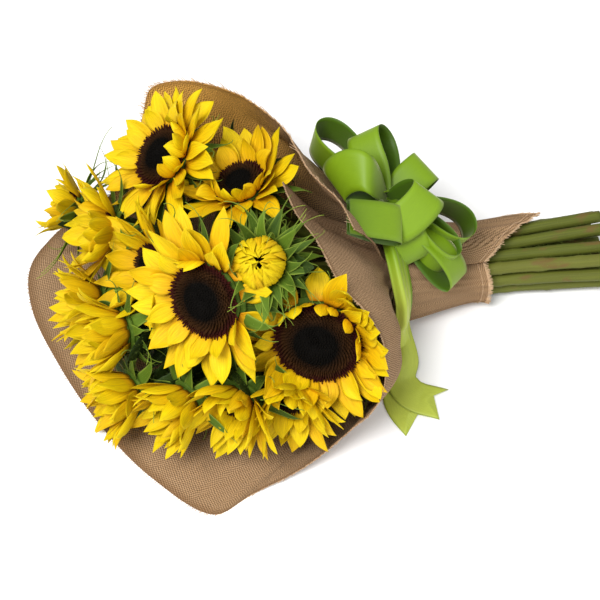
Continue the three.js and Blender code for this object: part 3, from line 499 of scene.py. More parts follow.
def weave_group():
    """Plain weave on coordinates in millimetres: thread height, and colour by thread and gap."""
    nodes, given, made = shader_group("plain_weave", [
        ("Place", "NodeSocketVector", None),
        ("Pitch", "NodeSocketFloat", WEAVE_PITCH),
        ("Light", "NodeSocketColor", rgba(180, 147, 112)),
        ("Dark", "NodeSocketColor", rgba(76, 56, 34)),
    ], [("Colour", "NodeSocketColor"), ("Height", "NodeSocketFloat")])
    place = given["Place"]
    wander = nodes.spots(place, 0.09, 2)
    waves = []
    cells = []
    for axis, drift in zip(nodes.axes(place), (2.2, -2.2)):
        bent = nodes.calc("MULTIPLY_ADD", wander, drift, axis)
        turn = nodes.calc("MULTIPLY", nodes.calc("DIVIDE", bent, given["Pitch"]), math.pi)
        waves.append(nodes.calc("POWER", nodes.calc("ABSOLUTE", nodes.calc("SINE", turn)), 0.85))
        cells.append(nodes.calc("FLOOR", nodes.calc("DIVIDE", turn, math.pi)))
    parity = nodes.calc("PINGPONG", nodes.calc("ADD", *cells), 1.0)
    warp = nodes.calc("MULTIPLY", waves[0], nodes.calc("MULTIPLY_ADD", parity, 0.45, 0.55))
    weft = nodes.calc("MULTIPLY", waves[1], nodes.calc("MULTIPLY_ADD", parity, -0.45, 1.0))
    height = nodes.calc("MAXIMUM", warp, weft)
    along = nodes.spots(nodes.stretched(place, (1.4, 0.05, 1)), 1.0, 3)
    cross = nodes.spots(nodes.stretched(place, (0.05, 1.4, 1)), 1.0, 3)
    uneven = nodes.calc("MULTIPLY_ADD", nodes.calc("ADD", along, cross), 0.65, -0.75)
    shade = nodes.calc("ADD", nodes.between(height, 0.4, 0.8), uneven)
    colour = nodes.blend(nodes.between(shade, 0.0, 1.0), given["Dark"], given["Light"])
    nodes.feed(made["Colour"], colour)
    nodes.feed(made["Height"], height)
    return nodes.tree


def streak_group():
    """Fine lines that run along a petal, leaf or stalk whose surface is mapped along it."""
    nodes, given, made = shader_group("fine_lines", [
        ("Place", "NodeSocketVector", None),
        ("Across", "NodeSocketFloat", 30.0),
        ("Along", "NodeSocketFloat", 2.0),
        ("Tint", "NodeSocketFloat", 0.5),
    ], [("Lines", "NodeSocketFloat")])
    axes = nodes.axes(given["Place"])
    along = nodes.calc("MULTIPLY", axes[0], given["Along"])
    across = nodes.calc("MULTIPLY", axes[1], given["Across"])
    apart = nodes.calc("MULTIPLY", given["Tint"], 40.0)
    nodes.feed(made["Lines"], nodes.spots(nodes.vector(along, across, apart), 1.0, 2))
    return nodes.tree


WEAVE = weave_group()
STREAKS = streak_group()


def streaks(nodes, place, tint, across, along):
    """The fine lines on one material's surface."""
    inputs = {"Place": place, "Across": across, "Along": along, "Tint": tint}
    return nodes.grouped(STREAKS, inputs)["Lines"]


# Materials

def burlap_material():
    """Woven jute: worn brown at its edge, and golden inside at the back, where light comes through."""
    made, nodes = material("woven_burlap")
    mapped, tint = nodes.mapped()
    inside = nodes.calc("GREATER_THAN", tint, INNER_FACE - 0.5)
    edge = nodes.calc("MULTIPLY_ADD", inside, -INNER_FACE, tint)
    weave = nodes.grouped(WEAVE, {"Place": nodes.scaled(mapped, 1000.0)})
    place = nodes.place()
    cloud = nodes.between(nodes.spots(place, 9.0, 3), 0.3, 0.75, 0.0, 0.2)
    colour = nodes.blend(cloud, weave["Colour"], rgba(132, 100, 64))
    y, z = nodes.axes(place)[1:3]
    back = nodes.calc("MULTIPLY", nodes.between(y, 0.05, 0.13), nodes.between(z, 0.01, 0.06))
    lit = nodes.calc("MULTIPLY", back, inside)
    grain = nodes.between(weave["Height"], 0.45, 0.85)
    golden = nodes.blend(grain, rgba(206, 180, 100), rgba(330, 304, 200))
    colour = nodes.blend(lit, colour, golden, "MULTIPLY")
    colour = nodes.blend(nodes.calc("MULTIPLY", edge, 0.6), colour, rgba(96, 64, 34))
    nodes.surface(colour, 0.92, 0.15, (weave["Height"], 0.7, 0.0008))
    return made


def thread_material():
    made, nodes = material("loose_burlap_thread")
    spots = nodes.spots(nodes.place(), 400.0, 2)
    nodes.surface(nodes.blend(spots, rgba(150, 116, 84), rgba(214, 184, 148)), 0.9)
    return made


def ribbon_material():
    """Satin: fine threads across the shine, a darker woven edge, and painted light and shade by its tint.
    """
    made, nodes = material("lime_satin_ribbon")
    mapped, tint = nodes.mapped()
    millimetres = nodes.scaled(mapped, 1000.0)
    threads = nodes.spots(nodes.stretched(millimetres, (0.12, 4.5, 1)), 1.0, 2)
    aside = nodes.calc("ABSOLUTE", nodes.axes(millimetres)[1])
    edge = nodes.between(aside, RIBBON_WIDE / 2 - 1.3, RIBBON_WIDE / 2 - 0.5, 0.0, 0.3)
    # Painted shade and light by tint: deep green inside the loops and towards the knot, pale on the tails
    # that lie up to the light.
    stops = [(0.0, rgb(44, 76, 0)), (0.5, rgb(116, 148, 4)), (1.0, rgb(182, 194, 72))]
    colour = nodes.ramp(tint, stops)
    colour = nodes.blend(nodes.between(threads, 0.3, 0.7, 0.22, 0.0), colour, rgba(66, 98, 0))
    colour = nodes.blend(edge, colour, rgba(72, 104, 8))
    sheen = {"Sheen Weight": 0.3, "Sheen Roughness": 0.35, "Sheen Tint": (1.0, 0.95, 0.6, 1)}
    roughness = nodes.between(threads, 0.2, 0.8, 0.48, 0.6)
    nodes.surface(colour, roughness, 0.4, (threads, 0.12, 0.0003), sheen)
    return made


def petal_material():
    """Yellow, deep orange at the root, partly its own colour and partly painted shade by the disc, with
    fine grooves and some warmer petals.
    """
    made, nodes = material("sunflower_petal")
    mapped, tint = nodes.mapped()
    lines = streaks(nodes, mapped, tint, 22.0, 2.5)
    reach = nodes.calc("MULTIPLY_ADD", lines, 0.22, nodes.axes(mapped)[0])
    # Deep orange-brown at the root: partly the petal's own colour, partly painted shade where it meets the
    # disc.
    colour = nodes.ramp(reach, [
        (0.02, rgb(168, 84, 0)), (0.16, rgb(204, 138, 0)), (0.4, rgb(220, 180, 0)),
        (0.95, rgb(224, 196, 2)),
    ])
    colour = nodes.blend(nodes.between(tint, 0.45, 1.0, 0.0, 0.4), colour, rgba(214, 148, 0))
    shade = nodes.between(lines, 0.3, 0.62, 0.72, 1.0)
    grey = nodes.add("ShaderNodeCombineColor", {0: shade, 1: shade, 2: shade}).outputs[0]
    colour = nodes.blend(1.0, colour, grey, "MULTIPLY")
    nodes.surface(colour, 0.6, 0.2, (lines, 0.6, 0.0007))
    return made


def floret_material():
    """Black-brown in the eye, then a brown ring and purplish tips at the rim."""
    made, nodes = material("disc_florets")
    ring = nodes.add("ShaderNodeAttribute", attribute_name="ring").outputs["Fac"]
    speck = nodes.spots(nodes.place(), 500.0, 2)
    mixed = nodes.calc("MULTIPLY_ADD", speck, 0.08, nodes.calc("SUBTRACT", ring, 0.04))
    colour = nodes.ramp(mixed, [
        (0.0, rgb(11, 9, 7)), (0.5, rgb(9, 7, 5)), (0.64, rgb(40, 24, 11)), (0.78, rgb(56, 34, 15)),
        (0.88, rgb(42, 15, 11)), (1.0, rgb(58, 19, 14)),
    ])
    nodes.surface(colour, 0.85, 0.06)
    return made


def stalk_material():
    """Ribbed green skin, yellower on some stalks, with brown scars."""
    made, nodes = material("green_stalk")
    mapped, tint = nodes.mapped()
    lines = streaks(nodes, mapped, tint, 14.0, 1.5)
    colour = nodes.blend(lines, rgba(50, 60, 12), rgba(96, 104, 30))
    colour = nodes.blend(nodes.calc("MULTIPLY", tint, 0.5), colour, rgba(118, 116, 50))
    patches = nodes.spots(nodes.stretched(nodes.place(), (26, 70, 70)), 1.0, 3)
    colour = nodes.blend(nodes.between(patches, 0.56, 0.68, 0.0, 0.7), colour, rgba(104, 78, 42))
    nodes.surface(colour, 0.65, 0.25, (lines, 0.4, 0.0006))
    return made


def pith_material():
    made, nodes = material("cut_pith")
    spots = nodes.spots(nodes.place(), 900.0, 2)
    nodes.surface(nodes.blend(spots, rgba(206, 214, 168), rgba(166, 178, 122)), 0.8)
    return made


def bract_material():
    """Green with fine lines, paler along the edges and towards the tip."""
    made, nodes = material("green_bract")
    mapped, tint = nodes.mapped()
    axes = nodes.axes(mapped)
    lines = streaks(nodes, mapped, tint, 16.0, 3.0)
    colour = nodes.blend(tint, rgba(34, 56, 10), rgba(80, 106, 24))
    colour = nodes.blend(nodes.between(lines, 0.3, 0.7, 0.0, 0.35), colour, rgba(104, 130, 40))
    edge = nodes.between(nodes.calc("ABSOLUTE", axes[1]), 0.62, 1.0, 0.0, 0.6)
    pale = nodes.calc("MAXIMUM", edge, nodes.between(axes[0], 0.5, 0.95, 0.0, 0.7))
    colour = nodes.blend(pale, colour, rgba(146, 166, 62))
    nodes.surface(colour, 0.7, 0.15, (lines, 0.4, 0.0005))
    return made


def leaf_material():
    """Dark green with a pale midrib and slanted side veins."""
    made, nodes = material("green_leaf")
    mapped, tint = nodes.mapped()
    axes = nodes.axes(mapped)
    side = nodes.calc("ABSOLUTE", axes[1])
    along = nodes.calc("MULTIPLY", axes[0], 9.0)
    slanted = nodes.calc("SUBTRACT", along, nodes.calc("MULTIPLY", side, 2.6))
    rib = nodes.calc("ABSOLUTE", nodes.calc("SUBTRACT", nodes.calc("FRACT", slanted), 0.5))
    vein = nodes.calc("MAXIMUM", nodes.between(rib, 0.05, 0.0), nodes.between(side, 0.06, 0.02))
    colour = nodes.blend(tint, rgba(18, 32, 6), rgba(38, 56, 12))
    colour = nodes.blend(nodes.calc("MULTIPLY", vein, 0.35), colour, rgba(84, 104, 44))
    nodes.surface(colour, 0.6, 0.2, (nodes.calc("SUBTRACT", 1.0, vein), 0.5, 0.0008))
    return made


def hair_material():
    made, nodes = material("plant_hairs")
    spots = nodes.spots(nodes.place(), 200.0, 1)
    nodes.surface(nodes.blend(spots, rgba(96, 120, 30), rgba(140, 160, 66)), 0.7)
    return made


def floor_material():
    made, nodes = material("pale_floor")
    spots = nodes.spots(nodes.place(), 3.0, 1)
    nodes.surface(nodes.blend(spots, rgba(250, 250, 250), rgba(253, 253, 253)), 0.9)
    return made


# Repeats, grown by geometry nodes

def growing_tree(name, inputs):
    """An empty geometry tree with its named inputs, its node maker and its ends."""
    tree = bpy.data.node_groups.new(name, "GeometryNodeTree")
    tree.interface.new_socket("Geometry", in_out="INPUT", socket_type="NodeSocketGeometry")
    for label, kind, value in inputs:
        socket = tree.interface.new_socket(label, in_out="INPUT", socket_type=kind)
        if value is not None:
            socket.default_value = value
    tree.interface.new_socket("Geometry", in_out="OUTPUT", socket_type="NodeSocketGeometry")
    nodes = Nodes(tree)
    return nodes, nodes.add("NodeGroupInput").outputs, nodes.add("NodeGroupOutput").inputs


def joined_growth(nodes, given, made, instances):
    """Real geometry in its own material, beside the piece that it grows on."""
    joined = nodes.add("GeometryNodeJoinGeometry")
    nodes.tree.links.new(given["Geometry"], joined.inputs[0])
    nodes.tree.links.new(nodes.dressed(instances, given["Material"]), joined.inputs[0])
    nodes.feed(made["Geometry"], joined.outputs[0])
    return nodes.tree


def floret_tree():
    """Florets in a crossing spiral over a domed disc, longer and leaning out towards the rim."""
    nodes, given, made = growing_tree("spiral_florets", [
        ("Radius", "NodeSocketFloat", 0.03),
        ("Crown", "NodeSocketFloat", 0.005),
        ("Count", "NodeSocketInt", 500),
        ("Floret", "NodeSocketFloat", 0.0011),
        ("Seed", "NodeSocketInt", 1),
        ("Material", "NodeSocketMaterial", None),
    ])
    index = nodes.add("GeometryNodeInputIndex").outputs[0]
    share = nodes.calc("SQRT", nodes.calc("DIVIDE", nodes.calc("ADD", index, 0.5), given["Count"]))
    angle = nodes.calc("MULTIPLY", index, GOLDEN_ANGLE)
    reach = nodes.calc("MULTIPLY", share, given["Radius"])
    squared = nodes.calc("MULTIPLY", share, share)
    dip = nodes.calc("POWER", 2.718, nodes.calc("MULTIPLY", squared, -26.0))
    cosine = nodes.calc("COSINE", nodes.calc("MULTIPLY", share, math.pi / 2))
    dome = nodes.calc("ADD", cosine, nodes.calc("MULTIPLY", nodes.calc("SUBTRACT", 1.0, share), 0.55))
    height = nodes.calc("MULTIPLY", nodes.calc("SUBTRACT", dome, dip), given["Crown"])
    x, y = (nodes.calc("MULTIPLY", reach, nodes.calc(wave, angle)) for wave in ("COSINE", "SINE"))
    inputs = {"Count": given["Count"], "Position": nodes.vector(x, y, height)}
    points = nodes.add("GeometryNodePoints", inputs).outputs[0]
    upright = nodes.calc("MULTIPLY", given["Radius"], nodes.between(share, 0.6, 1.0, 1.9, 0.45))
    chance = nodes.chance(0.75, 1.25, given["Seed"])
    thick = nodes.calc("MULTIPLY", given["Floret"], chance)
    stamen = nodes.calc("MULTIPLY", nodes.between(share, 0.52, 0.72, 0.62, 1.5), chance)
    size = nodes.vector(thick, thick, nodes.calc("MULTIPLY", thick, stamen))
    spread = nodes.set_on(points, nodes.cone(5, 0.35, 2.0), nodes.vector(x, y, upright), size)
    inputs = {"Geometry": spread, "Name": "ring", "Value": share}
    marked = nodes.add("GeometryNodeStoreNamedAttribute", inputs, data_type="FLOAT", domain="INSTANCE")
    return joined_growth(nodes, given, made, marked.outputs[0])


def thread_tree():
    """A tapered thread or stitch on each loose point, along the point's own aim."""
    nodes, given, made = growing_tree("threads_on_points", [
        ("Thickness", "NodeSocketFloat", 0.0004),
        ("Taper", "NodeSocketFloat", 0.5),
        ("Spread", "NodeSocketFloat", 0.3),
        ("Seed", "NodeSocketInt", 1),
        ("Material", "NodeSocketMaterial", None),
    ])
    points = nodes.add("GeometryNodeMeshToPoints", {"Mesh": given["Geometry"]}).outputs[0]
    named = nodes.add("GeometryNodeInputNamedAttribute", {"Name": "aim"}, data_type="FLOAT_VECTOR")
    aim = named.outputs[0]
    reach = nodes.add("ShaderNodeVectorMath", {0: aim}, operation="LENGTH").outputs[1]
    straight = nodes.add("ShaderNodeVectorMath", {0: aim}, operation="NORMALIZE").outputs[0]
    loose = nodes.summed(straight, nodes.scaled(nodes.jitter(1, given["Seed"]), given["Spread"]))
    size = nodes.vector(given["Thickness"], given["Thickness"], reach)
    spread = nodes.set_on(points, nodes.cone(5, given["Taper"], 1.0), loose, size)
    nodes.feed(made["Geometry"], nodes.dressed(spread, given["Material"]))
    return nodes.tree


def hair_tree():
    """Short hairs that stand on a plant's skin."""
    nodes, given, made = growing_tree("hairs_on_skin", [
        ("Density", "NodeSocketFloat", 60000.0),
        ("Length", "NodeSocketFloat", 0.0016),
        ("Thickness", "NodeSocketFloat", 0.00009),
        ("Seed", "NodeSocketInt", 1),
        ("Material", "NodeSocketMaterial", None),
    ])
    inputs = {"Mesh": given["Geometry"], "Density": given["Density"], "Seed": given["Seed"]}
    scatter = nodes.add("GeometryNodeDistributePointsOnFaces", inputs).outputs
    aim = nodes.summed(scatter["Normal"], nodes.jitter(0.5, given["Seed"]))
    long = nodes.calc("MULTIPLY", given["Length"], nodes.chance(0.5, 1.3, given["Seed"]))
    size = nodes.vector(given["Thickness"], given["Thickness"], long)
    hair = nodes.cone(3, 0.1, 1.0, fill_type="NONE")
    return joined_growth(nodes, given, made, nodes.set_on(scatter["Points"], hair, aim, size))


def grown(carrier, tree, values):
    """The plain mesh that a tree makes on a carrier mesh."""
    holder = bpy.data.objects.new("carrier", carrier)
    bpy.context.scene.collection.objects.link(holder)
    modifier = holder.modifiers.new("growth", "NODES")
    modifier.node_group = tree
    for item in tree.interface.items_tree:
        if item.item_type == "SOCKET" and item.in_out == "INPUT" and item.name in values:
            modifier[item.identifier] = values[item.name]
    graph = bpy.context.evaluated_depsgraph_get()
    made = bpy.data.meshes.new_from_object(
        holder.evaluated_get(graph), preserve_all_data_layers=True, depsgraph=graph)
    bpy.data.objects.remove(holder)
    return made


def threads(name, points, aims, values):
    """Threads at places in the source's millimetres, each as long as its aim."""
    carrier = bpy.data.meshes.new(name)
    carrier.from_pydata(((np.asarray(points) + SHIFT) * MM).tolist(), [], [])
    layer = carrier.attributes.new("aim", "FLOAT_VECTOR", "POINT")
    layer.data.foreach_set("vector", (np.asarray(aims) * MM).ravel())
    return grown(carrier, THREADS, values)


FLORETS = floret_tree()
THREADS = thread_tree()
HAIRS = hair_tree()


# Burlap sheet

def rounded(wave):
    """A sine or cosine swollen, so that a ring of the two is a rounded rectangle."""
    return np.sign(wave) * np.abs(wave) ** RING_POWER


def ring_points(angle, x, half_wide, half_high, middle):
    """Places round the bundle at angles in degrees, lifted where the sheet overlaps itself."""
    turn = np.radians(angle)
    lift = OVERLAP_LIFT * ease(332, 352, angle)
    y = -rounded(np.sin(turn)) * (half_wide + lift)
    z = middle + rounded(np.cos(turn)) * (half_high + lift)
    return np.stack([np.broadcast_to(x, y.shape), y, z], axis=-1)


def outwards(turn):
    """The way out from the middle of the bundle at angles round it, from the top to the near side."""
    return np.stack([np.zeros_like(turn), -np.sin(turn), np.cos(turn)], axis=-1)


def hem_line(angle):
    """The hem, drawn out into a flap whose edge runs straight over the stems to its corner."""
    x, *ring = HEM_RING
    aside = -rounded(np.sin(np.radians(angle)))
    straight = np.clip((aside - aside[-1]) / FLAP_SPREAD, 0, 1)
    faded = np.exp(-(((angle - FLAP_ANGLE) / FLAP_FADE) ** 2))
    corner = np.where(angle > FLAP_ANGLE, straight, faded)
    return ring_points(angle, x + FLAP_LENGTH * corner, *ring) - np.outer(corner, FLAP_HANG)


def sheet_grid(columns, rows):
    """The sheet's outer face: columns round the bundle, each a line from the hem to the mouth."""
    shares = np.linspace(0, 1, columns + 1)
    angle = np.interp(shares * (len(MOUTH) - 1), np.arange(len(MOUTH)), MOUTH[:, 0])
    mouth = spline(MOUTH[:, 1:], shares)
    waist, band, throat = (ring_points(angle, *ring) for ring in (WAIST_RING, BAND_RING, THROAT_RING))
    near_side = np.exp(-(((angle - 62) / 48) ** 2))
    far_side = np.exp(-(((np.where(angle < 180, angle + 360, angle) - 345) / 40) ** 2))
    bulge = 6 + 16 * near_side - 26 * far_side + 9 * ease(332, 352, angle)
    over = np.where(angle < 180, ease(104, 62, angle), ease(300, 340, angle))
    share = np.stack([0.55 + 0.1 * over, np.full_like(angle, 0.55), np.full_like(angle, 0.55)], axis=-1)
    belly = band + (mouth - band) * share + outwards(np.radians(angle)) * bulge[:, None]
    belly[:, 2] = np.maximum(belly[:, 2], 0)
    lines = np.stack([hem_line(angle), waist, band, throat, belly, mouth], axis=1)
    grid = np.stack([evenly(line, rows + 1) for line in lines])
    return grid, angle


def inward_of(grid):
    """The way into the cloth at each place of its outer face."""
    across = np.gradient(grid, axis=0)
    along = np.gradient(grid, axis=1)
    return unit(np.cross(across, along))


def wrinkles(grid, scale, start):
    """Soft noise at each place of a grid."""
    points = [Vector(point) * scale + Vector((start, 0, 0)) for point in grid.reshape(-1, 3)]
    return np.array([noise.noise(point) for point in points]).reshape(grid.shape[:2])


def folds(grid, angle):
    """How far the cloth falls in at each place: gathers at the band, and soft wrinkles beyond."""
    x = grid[..., 0]
    wander = np.array([noise.noise(Vector((a * 0.03, 0, 3))) for a in angle])[:, None]
    gathers = 0.5 - 0.5 * np.cos(np.radians(angle)[:, None] * 22 + 5 * wander)
    near_band = np.exp(-(((x - BAND_X) / 42) ** 2))
    fall = gathers * (2.4 * near_band + 1.2 * ease(10, 60, x))
    return fall + ease(-20, -90, x) * (2.6 * wrinkles(grid, 0.014, 0) + 0.9 * wrinkles(grid, 0.05, 7))


def cloth(outer, inner):
    """Points and faces of two layers of one grid, joined round their border."""
    columns, rows = outer.shape[:2]
    here = (np.arange(columns - 1)[:, None] * rows + np.arange(rows - 1)[None, :]).ravel()
    quads = np.stack([here, here + rows, here + rows + 1, here + 1], axis=-1)
    shift = columns * rows
    low = np.arange(columns) * rows
    side = np.arange(rows)
    border = np.concatenate([low, low[-1] + side[1:], low[-2::-1] + rows - 1, side[-2:0:-1]])
    after = np.roll(border, -1)
    rim = np.stack([after, border, border + shift, after + shift], axis=-1)
    points = np.concatenate([outer.reshape(-1, 3), inner.reshape(-1, 3)])
    return points, outward(points, quads.tolist() + (quads[:, ::-1] + shift).tolist() + rim.tolist())


def weave_map(grid):
    """Places of the cloth laid flat, in metres: rings round the gathered neck."""
    travel = np.concatenate([np.zeros((len(grid), 1)), np.cumsum(
        np.linalg.norm(np.diff(grid, axis=1), axis=2), axis=1)], axis=1)
    band = np.argmin(np.abs(grid[..., 0] - BAND_X), axis=1)
    radius = WEAVE_RADIUS + travel - travel[np.arange(len(grid)), band][:, None]
    edge = np.linalg.norm(np.diff(grid[:, -1], axis=0), axis=1)
    wide = edge / (0.5 * (radius[1:, -1] + radius[:-1, -1]))
    turn = np.concatenate([[0], np.cumsum(wide)])[:, None]
    return np.stack([radius * np.cos(turn), radius * np.sin(turn)], axis=-1) * MM


def burlap_sheet(look):
    """The sheet's outer face as a grid, its mesh and a tree to test what meets it."""
    base, angle = sheet_grid(SHEET_COLUMNS, SHEET_ROWS)
    grid = base + inward_of(base) * folds(base, angle)[..., None]
    grid[..., 2] = np.maximum(grid[..., 2], TABLE_GAP)
    inner = grid + inward_of(grid) * BURLAP_THICK
    inner[..., 2] = np.maximum(inner[..., 2], TABLE_GAP + 0.4)
    points, faces = cloth(grid, inner)
    places = weave_map(grid).reshape(-1, 2)
    from_edge = np.linspace(SHEET_ROWS, 0, SHEET_ROWS + 1) / EDGE_ROWS
    worn = np.broadcast_to(np.maximum(1 - from_edge, 0), grid.shape[:2]).ravel()
    heap = Heap()
    heap.add(points, faces, np.concatenate([places, places]), np.concatenate([worn, worn + INNER_FACE]))
    return grid, heap.mesh("burlap_sheet", [look]), tree_of(points, faces)


def fringe(grid, look):
    """Loose threads out of the sheet's free edge, longer on its far side, and out of its hem."""
    random = draws(7)
    points, aims = [], []
    out = unit(grid[:, -1] - grid[:, -2])
    along = directions(grid[:, -1])
    for column in np.linspace(0, SHEET_COLUMNS, 900):
        index = int(column)
        share = column - index
        place = grid[index, -1] * (1 - share) + grid[min(index + 1, SHEET_COLUMNS), -1] * share
        far = 0.62 * SHEET_COLUMNS < column
        reach = random(1.2, 5.5) if far else random(0.8, 3.4)
        if far and random(0, 1) > 0.93:
            reach *= 2.6
        points.append(place - out[index] * 0.6)
        aims.append(out[index] * reach + along[index] * random(-1.2, 1.2) * (1.6 if far else 0.8))
    hem_out = unit(grid[:, 0] - grid[:, 1])
    hem_along = directions(grid[:, 0])
    for index in range(SHEET_COLUMNS + 1):
        for _ in range(2):
            points.append(grid[index, 0] - hem_out[index] * 0.6)
            aims.append(hem_out[index] * random(1.5, 5.0) + hem_along[index] * random(-1, 1))
    return threads("burlap_fringe", points, aims, {
        "Thickness": 0.00036, "Taper": 0.6, "Spread": 0.25, "Seed": 3, "Material": look})


def hem_stitches(grid, look):
    """A row of stitches round the hem, a little above the cloth."""
    row = 3
    inward = inward_of(grid)[:, row]
    line = grid[:, row] - inward * 0.5
    places = evenly(line[::6], 150)
    lifts = evenly((line - inward)[::6], 150) - places
    steps = np.roll(places, -1, axis=0) - places
    return threads("hem_stitches", places[:-1] + lifts[:-1] * 0.2, steps[:-1] * 0.62, {
        "Thickness": 0.00045, "Taper": 0.9, "Spread": 0.05, "Seed": 5, "Material": look})


# Ribbon

def reaches(grid, x):
    """How far the sheet reaches in each direction round the bundle, near one place along it."""
    flat = grid.reshape(-1, 3)
    section = flat[np.abs(flat[:, 0] - x) < 3]
    turns = TURN * np.arange(BAND_SIDES * 4) / (BAND_SIDES * 4)
    return turns, (section @ outwards(turns).T).max(axis=0)


def tangent_corners(grid, probe, x, grow):
    """Corners of the taut line round the sheet, where neighbouring tangents meet."""
    turns, reach = reaches(grid, probe)
    r, q = reach + grow, np.roll(reach, -1) + grow
    after = np.roll(turns, -1)
    gap = np.sin(after - turns)
    y = (r * np.cos(after) - q * np.cos(turns)) / gap
    z = (r * np.sin(after) - q * np.sin(turns)) / gap
    return np.stack([np.full_like(y, x), y, z], axis=-1)


def strip(heap, centres, sides, columns=6, bow=0.0, notch=0.0, pleats=0.0, ridge=0.0, tints=None):
    """A smooth strip of ribbon from its centre line and the way from there to one edge.

    Where it is narrower than the ribbon, it has pleats or one ridge of the given height. It ends in
    a notch, and the tints are those of its two faces.
    """
    travel = directions(centres)
    normal = unit(np.cross(sides, travel))
    halves = np.linalg.norm(sides, axis=1)
    u = np.linspace(-1, 1, columns + 1)
    run = np.concatenate([[0], np.cumsum(np.linalg.norm(np.diff(centres, axis=0), axis=1))])
    squeeze = np.clip(1 - halves / (RIBBON_WIDE / 2), 0, 1)
    gathers = pleats * np.cos(u * math.pi * 3) - ridge * (1 + np.cos(u * math.pi))
    lift = bow * (u**2 - 0.4)[None, :] + squeeze[:, None] * gathers[None, :]
    face = centres[:, None] + sides[:, None] * u[None, :, None] + normal[:, None] * lift[..., None]
    cut = np.zeros_like(lift)
    for back, share in enumerate(NOTCH_SHARES):
        cut[-1 - back] = share * notch * (1 - np.abs(u))
    face = face + travel[:, None] * cut[..., None]
    top = face + normal[:, None] * RIBBON_THICK / 2
    bottom = (face - normal[:, None] * RIBBON_THICK / 2)[:, ::-1]
    rings = np.concatenate([top, bottom], axis=1)
    wide = u * RIBBON_WIDE / 2
    places = np.stack(np.broadcast_arrays(run[:, None] + 0 * u, wide[None, :]), axis=-1) * MM
    points, faces = tube(rings)
    faced = [np.broadcast_to(np.reshape(tint, (-1, 1)), lift.shape) for tint in tints or (BOW_TINT,) * 2]
    tint = np.concatenate(faced, axis=1).ravel()
    heap.add(points, faces, np.concatenate([places, places[:, ::-1]], axis=1), tint)


def satin_band(grid, look):
    """The gathered ribbon round the neck: a closed ring that lies taut on the cloth."""
    across = 9
    rings = []
    for share in np.linspace(-0.5, 0.5, across):
        x = BAND_X + share * BAND_WIDE
        rings.append(tangent_corners(grid, x, x, 0.5 + 0.35 * math.cos(share * 22)))
    inner = np.stack(rings, axis=1)
    middle = inner.mean(axis=0, keepdims=True)
    outer = inner + unit(inner - middle) * RIBBON_THICK
    loop = np.concatenate([outer, inner[:, ::-1]], axis=1)
    steps, corners = loop.shape[:2]
    here = np.arange(steps * corners).reshape(steps, corners)
    beside = np.roll(here, -1, axis=0)
    turned, turned_beside = (np.roll(ring, -1, axis=1) for ring in (here, beside))
    quads = np.stack([here, beside, turned_beside, turned], axis=-1).reshape(-1, 4).tolist()
    points = loop.reshape(-1, 3)
    run = np.arange(steps) * 0.0033
    wide = np.linspace(-0.5, 0.5, across) * RIBBON_WIDE * MM
    wide = np.concatenate([wide, wide[::-1]])
    places = np.stack(np.broadcast_arrays(run[:, None], wide[None, :]), axis=-1)
    heap = Heap()
    heap.add(points, outward(points, quads), places)
    return heap.mesh("satin_band", [look])


def loop_strip(loop):
    """The centre line of a teardrop loop and the way to its edge, gathered where it leaves the knot."""
    seat = KNOT + np.array(loop["root"])
    reach = np.array(loop["tip"]) + TOWARDS * loop["lift"] - seat
    along = unit(reach)
    wide = unit(np.array(loop["across"]) - along * np.dot(loop["across"], along))
    part = np.cross(along, wide)
    share = np.linspace(0, 1, LOOP_STEPS)
    swell = np.sin(math.pi * share) ** 2
    aside = loop["open"] * np.sin(TURN * share) * swell * 0.77 + 2 * np.cos(math.pi * share)
    rise = loop["arch"] * np.sin(math.pi * swell)
    centres = seat + reach * swell[:, None] + part * aside[:, None] + TOWARDS * rise[:, None]
    widening = ease(0, FULL_WIDTH_AT, np.minimum(share, 1 - share))
    gathered = loop["gather"] + (1 - loop["gather"]) * widening
    sides = wide * (RIBBON_WIDE / 2 * gathered)[:, None]
    return centres, sides + (centres - seat - reach * 0.6) * (loop["cone"] * swell)[:, None]


def satin_bow(look):
    """All the loops and the turn of ribbon round the knot, with the length of the loops together.

    Each loop has painted shade towards the knot, and the deepest painted shade on the face that is turned
    in.
    """
    heap = Heap()
    length = 0
    for loop in LOOPS:
        centres, sides = loop_strip(loop)
        length += travelled(centres)
        normal = np.cross(sides, directions(centres))
        turned_in = np.sum(normal * (centres.mean(axis=0) - centres)) > 0
        share = np.linspace(0, 1, len(centres))
        # Painted shade: the outer face darkens towards the knot, and the face turned in is darker still.
        outer = BOW_TINT * (0.45 + 0.55 * ease(0, 0.42, np.minimum(share, 1 - share)))
        inner = outer * INSIDE_SHADE_TINT
        strip(heap, centres, sides, pleats=1.6, tints=(inner, outer) if turned_in else (outer, inner))
    turns = np.linspace(0, TURN, 25)
    wrap = KNOT + np.stack([np.cos(turns), np.sin(turns) * 0.4, np.sin(turns)], axis=-1) * KNOT_RADIUS * 0.9
    strip(heap, wrap, np.broadcast_to(TOWARDS * RIBBON_WIDE * 0.25, wrap.shape), pleats=1.0)
    return heap.mesh("satin_bow", [look]), length


